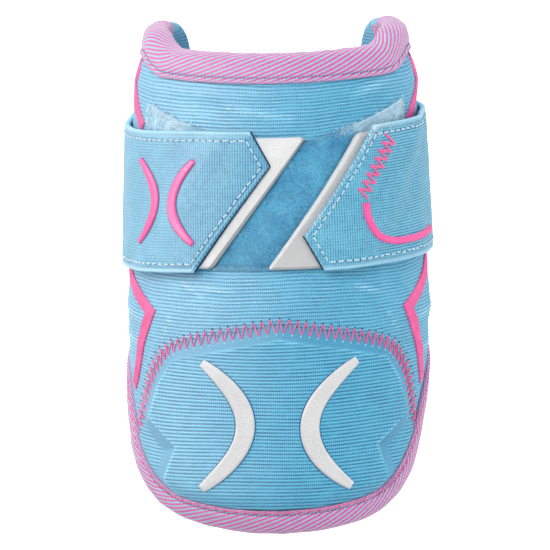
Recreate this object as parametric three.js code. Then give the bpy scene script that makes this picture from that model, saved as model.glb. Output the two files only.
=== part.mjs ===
// Batter's elbow guard, lying on its back with its front up. Millimetres.
// +Z is the front of the guard, +Y its upper end, +X its right as seen from the front.
import * as THREE from "three";

const { degToRad, radToDeg, lerp, clamp, smoothstep } = THREE.MathUtils;

// Driving sizes
const GAP = 0.3;
const AXIS_Z = 41.945;
const WALL = 6;
const WRAP = 140;
const TOP_Y = 84;
const CENTRE_Y = 1;
const TAPE = 1.2;
const LINING = 1.2;
const LINING_GAP = 0.6;
const PATCH = 1.2;
const TAB = 2;
const STRAP = 2.2;
const FILM = 0.5;
const RAISED = 1;

// Skin of the padded shell along its length: radius, sideways lean, and how far the wings reach round
const SKIN = [
  { y: -87, radius: 48, lean: -0.8, reach: 1 },
  { y: -78, radius: 50.7, lean: -2.2, reach: 1 },
  { y: -66, radius: 52.1, lean: -2.4, reach: 1 },
  { y: -48, radius: 52.6, lean: -1.5, reach: 1 },
  { y: -28, radius: 53.4, lean: -0.4, reach: 1 },
  { y: -10, radius: 54.4, lean: 0, reach: 1.008 },
  { y: -1, radius: 53.8, lean: 0, reach: 1.012 },
  { y: 9, radius: 52.8, lean: 0, reach: 1 },
  { y: 34, radius: 51.8, lean: 0, reach: 1 },
  { y: 60, radius: 50.9, lean: 0, reach: 1 },
  { y: 70, radius: 50.4, lean: 0.6, reach: 1 },
  { y: 77, radius: 48.8, lean: 0.6, reach: 1 },
  { y: 83, radius: 46.8, lean: 0.6, reach: 1 },
  { y: 90, radius: 45.2, lean: 0.6, reach: 1 },
];

// Lower edge of the shell from the middle of the front round to the back edge
const LOWER_EDGE = [
  { angle: 0, y: -86.9 },
  { angle: 15, y: -86.4 },
  { angle: 29, y: -85.1 },
  { angle: 42, y: -83 },
  { angle: 56, y: -77.8 },
  { angle: 66, y: -71 },
  { angle: 75.5, y: -61 },
  { angle: 82, y: -52 },
  { angle: 90, y: -44 },
  { angle: 98, y: -38.5 },
  { angle: 110, y: -31.5 },
  { angle: 122, y: -20.5 },
  { angle: 131, y: -11 },
  { angle: 137, y: -3.5 },
  { angle: WRAP, y: 5 },
];
const CORNER = { angle: 117, y: 60, rise: 4.9, from: 52, full: 80 };

// Seam that bounds the elbow cap, and the flat of the cap inside it
const CAP_SEAM = [
  { angle: 0, y: -11.3 },
  { angle: 22, y: -15 },
  { angle: 36, y: -18 },
  { angle: 46, y: -21.3 },
  { angle: 52, y: -25.8 },
  { angle: 57, y: -31.2 },
  { angle: 61.5, y: -38.5 },
  { angle: 66, y: -47 },
  { angle: 70, y: -53 },
];
const CAP_FLAT = [
  { angle: 0, y: -16.5 },
  { angle: 26, y: -21.5 },
  { angle: 42.6, y: -25.3 },
  { angle: 50, y: -34 },
  { angle: 56, y: -47.2 },
  { angle: 40.4, y: -56.7 },
  { angle: 47, y: -69 },
  { angle: 30, y: -92 },
];
const CAP = { side: 66, edge: 0.8, rise: 2.2, bevel: 6, radius: 53, hem: 4 };

// Strap zone, its ends and the pull tabs; both ends are alike, turned half round where they meet
const STRAP_LOW = 8.2;
const STRAP_HIGH = 59;
const MEET = { angle: 3.5, y: (STRAP_LOW + STRAP_HIGH) / 2 };
const END = [
  { y: STRAP_LOW, angle: -31.7 },
  { y: 46.3, angle: -2.5 },
  { y: STRAP_HIGH, angle: -9.5 },
];
const TAB_EDGE = { low: 8.8, lowAngle: -25.5, high: 56.2, highAngle: 11.7 };
const TAB_SHAPE = { reach: 20, round: 1.5, bevel: 0.7 };
const TAB_MEET = { angle: 3.7, y: 32.5 };
const STRAP_REST = GAP + PATCH + GAP;
const SIDE_REST = { lift: GAP + FILM + GAP, from: 66, full: 82 };
const STRAP_LIFT = { over: TAB + GAP, full: 27, none: 42 };
const STRAP_TURN = 8;
const SWAY = { drop: 3.6, from: 10, full: 85, back: 95, none: 130 };

// Loop patch: its top edge is a shallow V
const PATCH_SHAPE = { side: 62, low: 8.8, middle: 51.5, corner: 65.6 };

// Pink film stripes on the right side; the left side mirrors them
const STRIPE_WIDTH = 5.2;
const UPPER_STRIPE = [
  { angle: 81, y: 78 },
  { angle: 86.5, y: 70 },
  { angle: 79.5, y: 64 },
  { angle: 68, y: 56 },
];
const LOWER_STRIPE = [
  { angle: 88, y: 6.5 },
  { angle: 79.5, y: 1.9 },
  { angle: 58, y: -9.4 },
  { angle: 67.2, y: -22.2 },
  { angle: 76.4, y: -38.5 },
];

// Raised line and seam marks
const STRAP_LINE = { width: 2.6, path: [
  { angle: 33, y: 31.5 },
  { angle: 34, y: 25.5 },
  { angle: 38, y: 19.5 },
  { angle: 47, y: 16.2 },
  { angle: 60, y: 15.6 },
  { angle: 78, y: 16.5 },
] };
const CAP_MARK = { angle: 0, y: -48, high: 46, near: 11, far: 27, width: 6.5, radius: 53 };
const STRAP_MARK = { angle: -46, y: 33.6, high: 30, near: 5, far: 14.5, width: 4, radius: 56 };

// Smooth rise and fall through the rows of a table, with no overshoot between rows
function follow(rows, key, value, at) {
  const last = rows.length - 1;
  const x = clamp(at, rows[0][key], rows[last][key]);
  let i = 0;
  while (i < last - 1 && x > rows[i + 1][key]) i++;
  const slope = (k) => (rows[k + 1][value] - rows[k][value]) / (rows[k + 1][key] - rows[k][key]);
  const tangent = (k) => {
    if (k === 0) return slope(0);
    if (k === last) return slope(last - 1);
    const before = slope(k - 1);
    const after = slope(k);
    return before * after <= 0 ? 0 : (2 * before * after) / (before + after);
  };
  const span = rows[i + 1][key] - rows[i][key];
  const t = (x - rows[i][key]) / span;
  const rise = t * t * (3 - 2 * t);
  const bend = t * (1 - t) * span * ((1 - t) * tangent(i) - t * tangent(i + 1));
  return lerp(rows[i][value], rows[i + 1][value], rise) + bend;
}

const skinRadius = (y) => follow(SKIN, "y", "radius", y);

// Point at an angle round the guard and a height along it, lifted off the skin
function skin(angle, y, lift) {
  const turn = degToRad(angle * follow(SKIN, "y", "reach", y));
  const radius = skinRadius(y) + lift;
  return new THREE.Vector3(
    follow(SKIN, "y", "lean", y) + radius * Math.sin(turn),
    y,
    AXIS_Z + radius * Math.cos(turn),
  );
}

const lowerEdge = (angle) => follow(LOWER_EDGE, "angle", "y", Math.abs(angle));

// Upper edge: level at the front, rising to the wings and rounded down to the back edges
function upperEdge(angle) {
  const turn = Math.abs(angle);
  const past = clamp((turn - CORNER.angle) / (WRAP - CORNER.angle), 0, 1);
  const crest = TOP_Y + CORNER.rise * smoothstep(turn, CORNER.from, CORNER.full);
  return CORNER.y + (crest - CORNER.y) * Math.sqrt(1 - past * past);
}

// Path moved over the skin to the left of its direction, by a distance that may change along it
function inset(path, distance) {
  const last = path.length - 1;
  return path.map(({ angle, y }, i) => {
    const a = path[Math.max(i - 1, 0)];
    const b = path[Math.min(i + 1, last)];
    const along = new THREE.Vector2(degToRad(b.angle - a.angle) * skinRadius(y), b.y - a.y).normalize();
    const across = new THREE.Vector2(-along.y, along.x);
    const move = distance(i / last);
    return {
      angle: angle + radToDeg((across.x * move) / skinRadius(y)),
      y: y + across.y * move,
      across,
    };
  });
}

function heightOn(path, angle) {
  let i = 0;
  while (i < path.length - 2 && angle > path[i + 1].angle) i++;
  const t = (angle - path[i].angle) / (path[i + 1].angle - path[i].angle);
  return lerp(path[i].y, path[i + 1].y, t);
}

function spread(from, to, count) {
  return Array.from({ length: count }, (_, i) => lerp(from, to, i / (count - 1)));
}

// Closed solid through closed loops of equal length; tipped loops start and turn at a single point
function loft(loops, tipped = false) {
  const n = loops[0].length;
  const index = [];
  for (let c = 0; c + 1 < loops.length; c++) {
    for (let i = 0; i < n; i++) {
      const a = c * n + i;
      const b = c * n + ((i + 1) % n);
      index.push(a, b, a + n, b, b + n, a + n);
    }
  }
  const cap = (start, turn) => {
    const add = (a, b, c) => index.push(...(turn ? [c, b, a] : [a, b, c]).map((k) => start + k));
    const pair = (i) => (tipped ? n - i : n - 1 - i) % n;
    for (let i = 0; i < n / 2 - (tipped ? 0 : 1); i++) {
      if (pair(i) !== i) add(i, pair(i), i + 1);
      if (pair(i + 1) !== i + 1) add(pair(i), pair(i + 1), i + 1);
    }
  };
  cap(0, false);
  cap((loops.length - 1) * n, true);
  const points = loops.flat();
  let volume = 0;
  for (let i = 0; i < index.length; i += 3) {
    const [a, b, c] = [points[index[i]], points[index[i + 1]], points[index[i + 2]]];
    volume += a.dot(new THREE.Vector3().crossVectors(b, c));
  }
  if (volume < 0) index.reverse();
  const geometry = new THREE.BufferGeometry().setFromPoints(points);
  geometry.setIndex(index);
  return geometry;
}

// Sheet over a grid of columns and rows: place(column, row, face) has face 1 outside and 0 inside
function slab(columns, rows, place) {
  const back = [...rows].reverse();
  const loop = (c) => [...rows.map((r) => place(c, r, 1)), ...back.map((r) => place(c, r, 0))];
  return loft(columns.map(loop));
}

// Flat band along a path: its width along it, its underside's height over the skin, and its thickness
function ribbon(path, width, under, thick) {
  const left = inset(path, (t) => width(t) / 2);
  const right = inset(path, (t) => -width(t) / 2);
  const corners = [[left, thick], [right, thick], [right, 0], [left, 0]];
  return loft(path.map((_, i) => corners.map(([side, up]) => {
    const { angle, y } = side[i];
    return skin(angle, y, under(angle, y) + up);
  })));
}

// Smooth path of count points through the rows of a table
function smoothPath(rows, count) {
  const points = rows.map((row) => new THREE.Vector3(row.angle, row.y, 0));
  const curve = new THREE.CatmullRomCurve3(points, false, "centripetal");
  return curve.getSpacedPoints(count - 1).map((p) => ({ angle: p.x, y: p.y }));
}

const mirrored = (path) => path.map(({ angle, y }) => ({ angle: -angle, y })).reverse();

// Angles round the guard at which the shell and its edge tape have a section
const BACK = [117.5, 122.5, 127, 131, 134, 136.5];
const COLUMNS = [...BACK.map((angle) => -angle).reverse(), ...spread(-112, 112, 33), ...BACK];

// Padded shell: columns round the guard with rounded ends, thinning to a round back edge
function makeShell() {
  const half = WALL / 2;
  const turn = WRAP - COLUMNS.at(-1);
  const inner = COLUMNS.map((angle) => ({ angle, full: 1 }));
  const ends = [12, 38, 64].map((a) => degToRad(a)).map((a) => ({
    angle: WRAP - turn * (1 - Math.cos(a)),
    full: Math.sin(a),
  }));
  const columns = [...ends.map((e) => ({ ...e, angle: -e.angle })), ...inner, ...[...ends].reverse()];
  const hem = 7;
  return loft(columns.map(({ angle, full }) => {
    const round = half * full;
    const low = lowerEdge(angle) + round;
    const high = upperEdge(angle) - round;
    const rows = [low, ...spread(low + hem, high - hem, 12), high];
    const face = (side) => rows.map((y) => skin(angle, y, -half + side * round));
    const nose = (y, out, a) => skin(angle, y + out * round * Math.sin(a), -half + round * Math.cos(a));
    const [front, tip, back] = [Math.PI / 4, Math.PI / 2, (3 * Math.PI) / 4];
    return [
      nose(low, -1, tip), nose(low, -1, front), ...face(1), nose(high, 1, front),
      nose(high, 1, tip), nose(high, 1, back), ...face(-1).reverse(), nose(low, -1, back),
    ];
  }), true);
}

// Paths along the shell's edges, with the shell on their left
const LOWER_PATH = [
  { angle: -WRAP, y: 6.6 },
  ...[-WRAP, -138.5, ...COLUMNS, 138.5, WRAP].map((angle) => ({ angle, y: lowerEdge(angle) })),
  { angle: WRAP, y: 6.6 },
];
const UPPER_PATH = COLUMNS.slice(4, -4).map((angle) => ({ angle, y: upperEdge(angle) })).reverse();

// Tape folded over an edge: an outer leg, a round nose and an inner leg
function makeBinding(path, outerLeg, innerLeg) {
  const half = WALL / 2;
  const nose = [70, 35, 0, -35, -70].map((a) => degToRad(a));
  const centre = 1.2;
  const slack = 0.15;
  const run = (grow) => [
    { depth: outerLeg, lift: GAP + grow },
    { depth: outerLeg * 0.5, lift: GAP + grow },
    ...nose.map((a) => ({
      depth: centre - (centre + GAP + grow) * Math.cos(a),
      lift: -half + (half + GAP + grow) * Math.sin(a),
    })),
    { depth: innerLeg, lift: -WALL - GAP - slack - grow },
  ];
  const section = [...run(TAPE), ...run(0).reverse()];
  const edge = inset(path, () => 0);
  return loft(edge.map(({ angle, y, across }) => section.map(({ depth, lift }) => skin(
    angle + radToDeg((across.x * depth) / skinRadius(y)),
    y + across.y * depth,
    lift,
  ))));
}

const LEG = { top: 8.6, bottom: 7.8, inside: 6.6 };
const LINING_INSET = LEG.inside + 0.7;
const WHOLE_UPPER = COLUMNS.map((angle) => ({ angle, y: upperEdge(angle) })).reverse();
const LINING_LOW = inset(LOWER_PATH.slice(4, -4), () => LINING_INSET);
const LINING_HIGH = inset(WHOLE_UPPER, () => LINING_INSET).reverse();

function makeLining() {
  return slab(spread(-126, 126, 31), spread(0, 1, 8), (angle, t, side) => skin(
    angle,
    lerp(heightOn(LINING_LOW, angle), heightOn(LINING_HIGH, angle), t),
    -WALL - LINING_GAP - (1 - side) * LINING,
  ));
}

// Distance in millimetres outside the flat of the elbow cap
function outsideCapFlat(angle, y) {
  const at = new THREE.Vector2(degToRad(angle) * CAP.radius, y);
  const right = CAP_FLAT.map((p) => new THREE.Vector2(degToRad(p.angle) * CAP.radius, p.y));
  const left = right.slice(1).map((p) => new THREE.Vector2(-p.x, p.y)).reverse();
  const outline = [...right, ...left];
  let nearest = Infinity;
  let inside = false;
  outline.forEach((a, i) => {
    const b = outline[(i + 1) % outline.length];
    const edge = b.clone().sub(a);
    const t = clamp(at.clone().sub(a).dot(edge) / edge.lengthSq(), 0, 1);
    nearest = Math.min(nearest, at.distanceTo(a.clone().addScaledVector(edge, t)));
    const crosses = a.y > y !== b.y > y;
    if (crosses && at.x < a.x + (edge.x * (y - a.y)) / edge.y) inside = !inside;
  });
  return inside ? 0 : nearest;
}

const CAP_LOW = inset(LOWER_PATH, () => LEG.bottom + 0.4);
const capLow = (angle) => heightOn(CAP_LOW, angle);
const capSeam = (angle) => follow(CAP_SEAM, "angle", "y", Math.abs(angle));

function capThickness(angle, y) {
  const bevel = 1 - clamp(outsideCapFlat(angle, y) / CAP.bevel, 0, 1);
  const hem = smoothstep(y - capLow(angle), -CAP.hem, CAP.hem);
  return CAP.edge + CAP.rise * bevel * hem;
}

function makeCap() {
  return slab(spread(-CAP.side, CAP.side, 25), spread(0, 1, 13), (angle, t, side) => {
    const y = lerp(capLow(angle), capSeam(angle), t);
    return skin(angle, y, GAP + side * capThickness(angle, y));
  });
}

function makePatch() {
  const { side, low, middle, corner } = PATCH_SHAPE;
  return slab(spread(-side, side, 19), spread(0, 1, 5), (angle, t, face) => {
    const high = lerp(middle, corner, Math.abs(angle) / side);
    return skin(angle, lerp(low, high, t), GAP + face * PATCH);
  });
}

// Tab edge and strap end of the left half at a height; the right half is a half turn of it
function tabEdge(y) {
  const t = (y - TAB_EDGE.low) / (TAB_EDGE.high - TAB_EDGE.low);
  return lerp(TAB_EDGE.lowAngle, TAB_EDGE.highAngle, t);
}
const leftEnd = (y) => heightOn(END.map((row) => ({ angle: row.y, y: row.angle })), y);
const halfTurn = ({ angle, y }, about) => ({ angle: 2 * about.angle - angle, y: 2 * about.y - y });
const rightEnd = (y) => halfTurn({ angle: leftEnd(2 * MEET.y - y), y }, MEET).angle;

// Strap height over the skin: close at the sides, over the patch in front, raised where a tab lies under it
function strapRest(angle, y) {
  const past = (a, h) => degToRad(tabEdge(h) - a) * skinRadius(MEET.y);
  const other = halfTurn({ angle, y }, TAB_MEET);
  const near = angle < MEET.angle ? past(angle, y) : past(other.angle, other.y);
  const side = smoothstep(Math.abs(angle), SIDE_REST.from, SIDE_REST.full);
  const over = STRAP_LIFT.over * (1 - smoothstep(near, STRAP_LIFT.full, STRAP_LIFT.none));
  return lerp(STRAP_REST, SIDE_REST.lift, side) + over;
}

// How far the strap sits below its level: the left half slants down towards the side
function sway(angle) {
  const out = smoothstep(-angle, SWAY.from, SWAY.full);
  return -SWAY.drop * out * (1 - smoothstep(-angle, SWAY.back, SWAY.none));
}

// Point on the strap: round the skin, round a turn at the back, then flat along the ground
function strapPoint({ zone, side, t }, y, face) {
  const thick = face * STRAP;
  const radius = skinRadius(y) + SIDE_REST.lift;
  const centreZ = STRAP + STRAP_TURN;
  const centreX = Math.sqrt((radius - STRAP_TURN) ** 2 - (AXIS_Z - centreZ) ** 2);
  const leave = radToDeg(Math.atan2(centreX, centreZ - AXIS_Z));
  if (zone === "round") {
    const end = side < 0 ? -leftEnd(y) : rightEnd(y);
    const angle = lerp(end, leave, t);
    const at = y + sway(side * angle);
    const reach = skinRadius(at) + strapRest(side * angle, y) + thick;
    const a = degToRad(angle);
    return new THREE.Vector3(side * reach * Math.sin(a), at, AXIS_Z + reach * Math.cos(a));
  }
  if (zone === "turn") {
    const a = degToRad(lerp(leave, 180, t));
    const reach = STRAP_TURN + thick;
    return new THREE.Vector3(side * (centreX + reach * Math.sin(a)), y, centreZ + reach * Math.cos(a));
  }
  return new THREE.Vector3(side * centreX * t, y, STRAP - thick);
}

function makeStrap() {
  const half = [
    ...spread(0, 1, 17).map((t) => ({ zone: "round", t })),
    ...spread(0, 1, 5).slice(1).map((t) => ({ zone: "turn", t })),
  ];
  const left = half.map((s) => ({ ...s, side: -1 }));
  const right = half.map((s) => ({ ...s, side: 1 })).reverse();
  const rows = [STRAP_LOW, 14, 20.9, 27, 33.6, 40, 46.3, 53, STRAP_HIGH];
  return slab([...left, ...right], rows, strapPoint);
}

// Pull tab with rounded corners and a bevel at its free edge
function makeTab(turned) {
  const rows = spread(0, 1, 11);
  const columns = [0, 0.3, 0.55, 0.8, 0.96, 1];
  return slab(columns, rows, (c, t, face) => {
    const y = lerp(TAB_EDGE.low, TAB_EDGE.high, t);
    const corner = Math.max(0, TAB_SHAPE.round - Math.min(y - TAB_EDGE.low, TAB_EDGE.high - y));
    const cut = TAB_SHAPE.round - Math.sqrt(TAB_SHAPE.round ** 2 - corner ** 2);
    const back = radToDeg((TAB_SHAPE.reach * (1 - c) + cut * c) / skinRadius(MEET.y));
    const at = { angle: tabEdge(y) - back, y };
    const thick = TAB - (c === 1 ? TAB_SHAPE.bevel : 0);
    const spot = turned ? halfTurn(at, TAB_MEET) : at;
    return skin(spot.angle, spot.y, GAP + PATCH + GAP + face * thick);
  });
}

// Height over the skin at which something lies on the strap or on the cap
const onStrap = (angle, y) => strapRest(angle, y) + STRAP + GAP;
const onCap = (angle, y) => GAP + capThickness(angle, y) + GAP;

// Seam mark: a curve that bows towards its middle line and tapers at both ends
function makeMark({ angle, y, high, near, far, width, radius }, side, under, drop = () => 0) {
  const path = spread(-1, 1, 13).map((t) => {
    const at = angle + side * radToDeg(lerp(near, far, t * t) / radius);
    return { angle: at, y: y + (t * high) / 2 + drop(at) };
  });
  const taper = (t) => width * Math.sqrt(1 - 0.8 * (2 * t - 1) ** 2);
  return ribbon(path, taper, under, RAISED);
}

const upperStripe = smoothPath(UPPER_STRIPE, 9);
const lowerStripe = smoothPath(LOWER_STRIPE, 17);
const stripe = (path) => ribbon(path, () => STRIPE_WIDTH, () => GAP, FILM);
const strapLine = ribbon(smoothPath(STRAP_LINE.path, 19), () => STRAP_LINE.width, onStrap, RAISED);

const COLOUR = {
  knit: 0x79c0e2,
  lining: 0x5fb0d6,
  tape: 0xd58fbe,
  loop: 0x4f9cc4,
  elastic: 0x74bbdc,
  white: 0xe9eef2,
  pink: 0xf06aa8,
};

const PIECES = [
  ["shell", COLOUR.knit, makeShell()],
  ["lining", COLOUR.lining, makeLining()],
  ["binding_top", COLOUR.tape, makeBinding(UPPER_PATH, LEG.top, LEG.inside)],
  ["binding_bottom", COLOUR.tape, makeBinding(LOWER_PATH, LEG.bottom, LEG.inside)],
  ["elbow_cap", COLOUR.knit, makeCap()],
  ["loop_patch", COLOUR.loop, makePatch()],
  ["strap", COLOUR.elastic, makeStrap()],
  ["tab_left", COLOUR.white, makeTab(false)],
  ["tab_right", COLOUR.white, makeTab(true)],
  ["stripe_upper_left", COLOUR.pink, stripe(mirrored(upperStripe))],
  ["stripe_upper_right", COLOUR.pink, stripe(upperStripe)],
  ["stripe_lower_left", COLOUR.pink, stripe(mirrored(lowerStripe))],
  ["stripe_lower_right", COLOUR.pink, stripe(lowerStripe)],
  ["cap_mark_left", COLOUR.white, makeMark(CAP_MARK, -1, onCap)],
  ["cap_mark_right", COLOUR.white, makeMark(CAP_MARK, 1, onCap)],
  ["strap_mark_left", COLOUR.pink, makeMark(STRAP_MARK, -1, onStrap, sway)],
  ["strap_mark_right", COLOUR.pink, makeMark(STRAP_MARK, 1, onStrap, sway)],
  ["strap_line", COLOUR.pink, strapLine],
];

const guard = new THREE.Group();
guard.name = "elbow_guard";
for (const [name, color, geometry] of PIECES) {
  const mesh = new THREE.Mesh(geometry, new THREE.MeshStandardMaterial({ color, roughness: 0.85 }));
  mesh.name = name;
  geometry.translate(0, -CENTRE_Y, 0);
  guard.add(mesh);
}

export default guard;
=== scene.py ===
# Looks of the batter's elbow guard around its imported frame. Millimetres and degrees until a piece is made.
import math

import bmesh
import bpy
import numpy as np
from mathutils import Matrix


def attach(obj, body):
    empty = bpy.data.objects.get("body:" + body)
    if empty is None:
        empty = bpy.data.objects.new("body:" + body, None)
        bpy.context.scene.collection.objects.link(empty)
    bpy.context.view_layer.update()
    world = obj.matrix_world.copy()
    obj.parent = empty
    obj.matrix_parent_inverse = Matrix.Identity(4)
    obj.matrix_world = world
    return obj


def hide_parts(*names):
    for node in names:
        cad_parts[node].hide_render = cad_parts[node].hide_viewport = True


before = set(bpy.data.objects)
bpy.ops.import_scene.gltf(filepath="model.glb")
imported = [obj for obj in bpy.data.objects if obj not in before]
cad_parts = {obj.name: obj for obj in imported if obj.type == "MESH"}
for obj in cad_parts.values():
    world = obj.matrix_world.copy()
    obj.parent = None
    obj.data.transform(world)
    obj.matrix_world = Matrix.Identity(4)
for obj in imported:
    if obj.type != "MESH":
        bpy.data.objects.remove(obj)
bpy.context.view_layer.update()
scene = bpy.context.scene

# Driving sizes, as in the part's source
MM = 0.001
GAP = 0.3
AXIS_Z = 41.945
WALL = 6.0
WRAP = 140.0
TOP_Y = 84.0
CENTRE_Y = 1.0
TAPE = 1.2
LINING = 1.2
LINING_GAP = 0.6
PATCH = 1.2
TAB = 2.0
STRAP = 2.2
FILM = 0.5
RAISED = 1.0
# Height, radius, lean and reach of the skin
SKIN = np.array([
    (-87, 48, -0.8, 1), (-78, 50.7, -2.2, 1), (-66, 52.1, -2.4, 1), (-48, 52.6, -1.5, 1),
    (-28, 53.4, -0.4, 1), (-10, 54.4, 0, 1.008), (-1, 53.8, 0, 1.012), (9, 52.8, 0, 1),
    (34, 51.8, 0, 1), (60, 50.9, 0, 1), (70, 50.4, 0.6, 1), (77, 48.8, 0.6, 1),
    (83, 46.8, 0.6, 1), (90, 45.2, 0.6, 1),
], float)
LOWER_EDGE = np.array([
    (0, -86.9), (15, -86.4), (29, -85.1), (42, -83), (56, -77.8), (66, -71), (75.5, -61),
    (82, -52), (90, -44), (98, -38.5), (110, -31.5), (122, -20.5), (131, -11), (137, -3.5), (WRAP, 5),
], float)
CORNER = {"angle": 117.0, "y": 60.0, "rise": 4.9, "from": 52.0, "full": 80.0}
CAP_SEAM = np.array([
    (0, -11.3), (22, -15), (36, -18), (46, -21.3), (52, -25.8), (57, -31.2), (61.5, -38.5), (66, -47),
    (70, -53),
], float)
CAP_FLAT = np.array([
    (0, -16.5), (26, -21.5), (42.6, -25.3), (50, -34), (56, -47.2), (40.4, -56.7), (47, -69), (30, -92),
], float)
CAP = {"edge": 0.8, "rise": 2.2, "bevel": 6.0, "radius": 53.0}
STRAP_LOW = 8.2
STRAP_HIGH = 59.0
MEET = (3.5, (STRAP_LOW + STRAP_HIGH) / 2)
END = np.array([(STRAP_LOW, -31.7), (46.3, -2.5), (STRAP_HIGH, -9.5)])
TAB_EDGE = {"low": 8.8, "low_angle": -25.5, "high": 56.2, "high_angle": 11.7}
TAB_SHAPE = {"reach": 20.0, "round": 1.5, "bevel": 0.95}
TAB_MEET = (3.7, 32.5)
STRAP_REST = GAP + PATCH + GAP
SIDE_REST = {"lift": GAP + FILM + GAP, "from": 66.0, "full": 82.0}
STRAP_LIFT = {"over": TAB + GAP, "full": 27.0, "none": 42.0}
STRAP_TURN = 8.0
SWAY = {"drop": 3.6, "from": 10.0, "full": 85.0, "back": 95.0, "none": 130.0}
PATCH_SHAPE = {"side": 62.0, "low": 8.8, "middle": 51.5, "corner": 65.6}
STRIPE_WIDTH = 5.2
UPPER_STRIPE = np.array([(81, 78), (86.5, 70), (79.5, 64), (68, 56)], float)
LOWER_STRIPE = np.array([(88, 6.5), (79.5, 1.9), (58, -9.4), (67.2, -22.2), (76.4, -38.5)], float)
STRAP_LINE = np.array([(33, 31.5), (34, 25.5), (38, 19.5), (47, 16.2), (60, 15.6), (78, 16.5)], float)
STRAP_LINE_WIDTH = 2.6
CAP_MARK = {"angle": 0, "y": -48, "high": 46, "near": 11, "far": 27, "width": 6.5, "radius": 53}
STRAP_MARK = {"angle": -46, "y": 33.6, "high": 30, "near": 5, "far": 14.5, "width": 4, "radius": 56}
LEG = {"top": 8.6, "bottom": 7.8, "inside": 6.6}
LINING_SIDE = 126.0
LINING_INSET = LEG["inside"] + 0.7

# Heights of the points of the two strap ends, and how square slanting edges are to the strap
LEFT_POINT = END[1, 0]
RIGHT_POINT = 2 * MEET[1] - LEFT_POINT
SHORT_SLANT, LONG_SLANT, TAB_SLANT = 0.88, 0.81, 0.84

# Sizes of the cloth and the sewing
SHELL_SIDE = 136.5
TAPE_END = 108.0
TAPE_LIP = 2.4
FILM_BEVEL, MARK_BEVEL, LINE_BEVEL, PRESS_BEVEL = 0.4, 0.8, 0.6, 0.3
RIB = 1.29
RIB_HIGH = 0.15
UNROLL = 53.0
LINING_UNROLL = 46.0
LINING_RADIUS = 44.5
RUN = 54.0
STITCH_IN = 3.2
END_STITCH_IN = 2.4
STRAP_EDGE = 0.9
LINING_EDGE = 0.7
KNIT_STITCH = 0.72
LINING_MESH = 1.6
ELASTIC_WEAVE = {"row": 1.02, "column": 0.9, "dash": 1.24}
TWILL = {"slant": math.tan(math.radians(22)), "period": 1.5, "high": 0.12, "notch": 0.62}


def lerp(a, b, t):
    return a + (b - a) * t


def ease(x, low, high):
    t = np.clip((x - low) / (high - low), 0, 1)
    return t * t * (3 - 2 * t)


def hump(x, width):
    return np.exp(-((x / width) ** 2))


def unit(v):
    return v / np.maximum(np.linalg.norm(v, axis=-1, keepdims=True), 1e-9)


def distances(points, power=1.0):
    """Distance of each point of a row from the first, along the row, each step raised to a power."""
    return np.concatenate(([0], np.cumsum(np.linalg.norm(np.diff(points, axis=0), axis=1) ** power)))


def sampled(points, run, at):
    """Row of points read at other distances along it."""
    return np.stack([np.interp(at, run, points[:, k]) for k in range(points.shape[1])], -1)


def quarter(near, width):
    """Quarter circle from 0 at an edge to 1 at a width from it."""
    return np.sqrt(1 - (1 - np.clip(near / width, 0, 1)) ** 2)


def off_segment(x, y, start, way):
    """Share along a straight segment nearest to a place, and the distance from there."""
    t = np.clip(((x - start[0]) * way[0] + (y - start[1]) * way[1]) / way.dot(way), 0, 1)
    return t, np.hypot(x - start[0] - t * way[0], y - start[1] - t * way[1])


def unrolled(angle):
    """Distance round the shell from the front's middle."""
    return np.radians(angle) * UNROLL


def follow(table, column, at):
    """Smooth curve through the rows of a table, with no overshoot between rows."""
    keys, values = table[:, 0], table[:, column]
    slope = np.diff(values) / np.diff(keys)
    before, after = slope[:-1], slope[1:]
    same = before * after > 0
    middle = np.where(same, 2 * before * after / np.where(same, before + after, 1), 0)
    tangent = np.concatenate((slope[:1], middle, slope[-1:]))
    x = np.clip(at, keys[0], keys[-1])
    i = np.clip(np.searchsorted(keys, x) - 1, 0, len(keys) - 2)
    span = keys[i + 1] - keys[i]
    t = (x - keys[i]) / span
    bend = t * (1 - t) * span * ((1 - t) * tangent[i] - t * tangent[i + 1])
    return lerp(values[i], values[i + 1], t * t * (3 - 2 * t)) + bend


def skin_radius(y):
    return follow(SKIN, 1, y)


def skin(angle, y, lift):
    """Point at an angle round the guard and a height along it, lifted off the skin."""
    angle, y, lift = np.broadcast_arrays(angle, y, lift)
    turn = np.radians(angle * follow(SKIN, 3, y))
    radius = skin_radius(y) + lift
    return np.stack((follow(SKIN, 2, y) + radius * np.sin(turn), y, AXIS_Z + radius * np.cos(turn)), -1)


def lower_edge(angle):
    return follow(LOWER_EDGE, 1, np.abs(angle))


def upper_edge(angle):
    turn = np.abs(angle)
    past = np.clip((turn - CORNER["angle"]) / (WRAP - CORNER["angle"]), 0, 1)
    crest = TOP_Y + CORNER["rise"] * ease(turn, CORNER["from"], CORNER["full"])
    return CORNER["y"] + (crest - CORNER["y"]) * np.sqrt(1 - past * past)


def flat_of(path):
    """Path of angles and heights unrolled to millimetres."""
    return np.stack((np.radians(path[:, 0]) * skin_radius(path[:, 1]), path[:, 1]), -1)


def spaced(path, step):
    """Points at even distances along a path over the skin, and those distances."""
    run = distances(flat_of(path))
    at = np.linspace(0, run[-1], max(2, int(round(run[-1] / step)) + 1))
    return sampled(path, run, at), at


def left_of(path):
    """Unit steps over the skin to the left of a path."""
    i = np.arange(len(path))
    before = path[np.maximum(i - 1, 0)]
    after = path[np.minimum(i + 1, len(path) - 1)]
    turn = np.radians(after[:, 0] - before[:, 0]) * skin_radius(path[:, 1])
    along = unit(np.stack((turn, after[:, 1] - before[:, 1]), -1))
    return np.stack((-along[:, 1], along[:, 0]), -1)


def moved(path, left, distance):
    """Path moved over the skin to its left by a distance."""
    angle = path[:, 0] + np.degrees(left[:, 0] * distance / skin_radius(path[:, 1]))
    return np.stack((angle, path[:, 1] + left[:, 1] * distance), -1)


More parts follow.
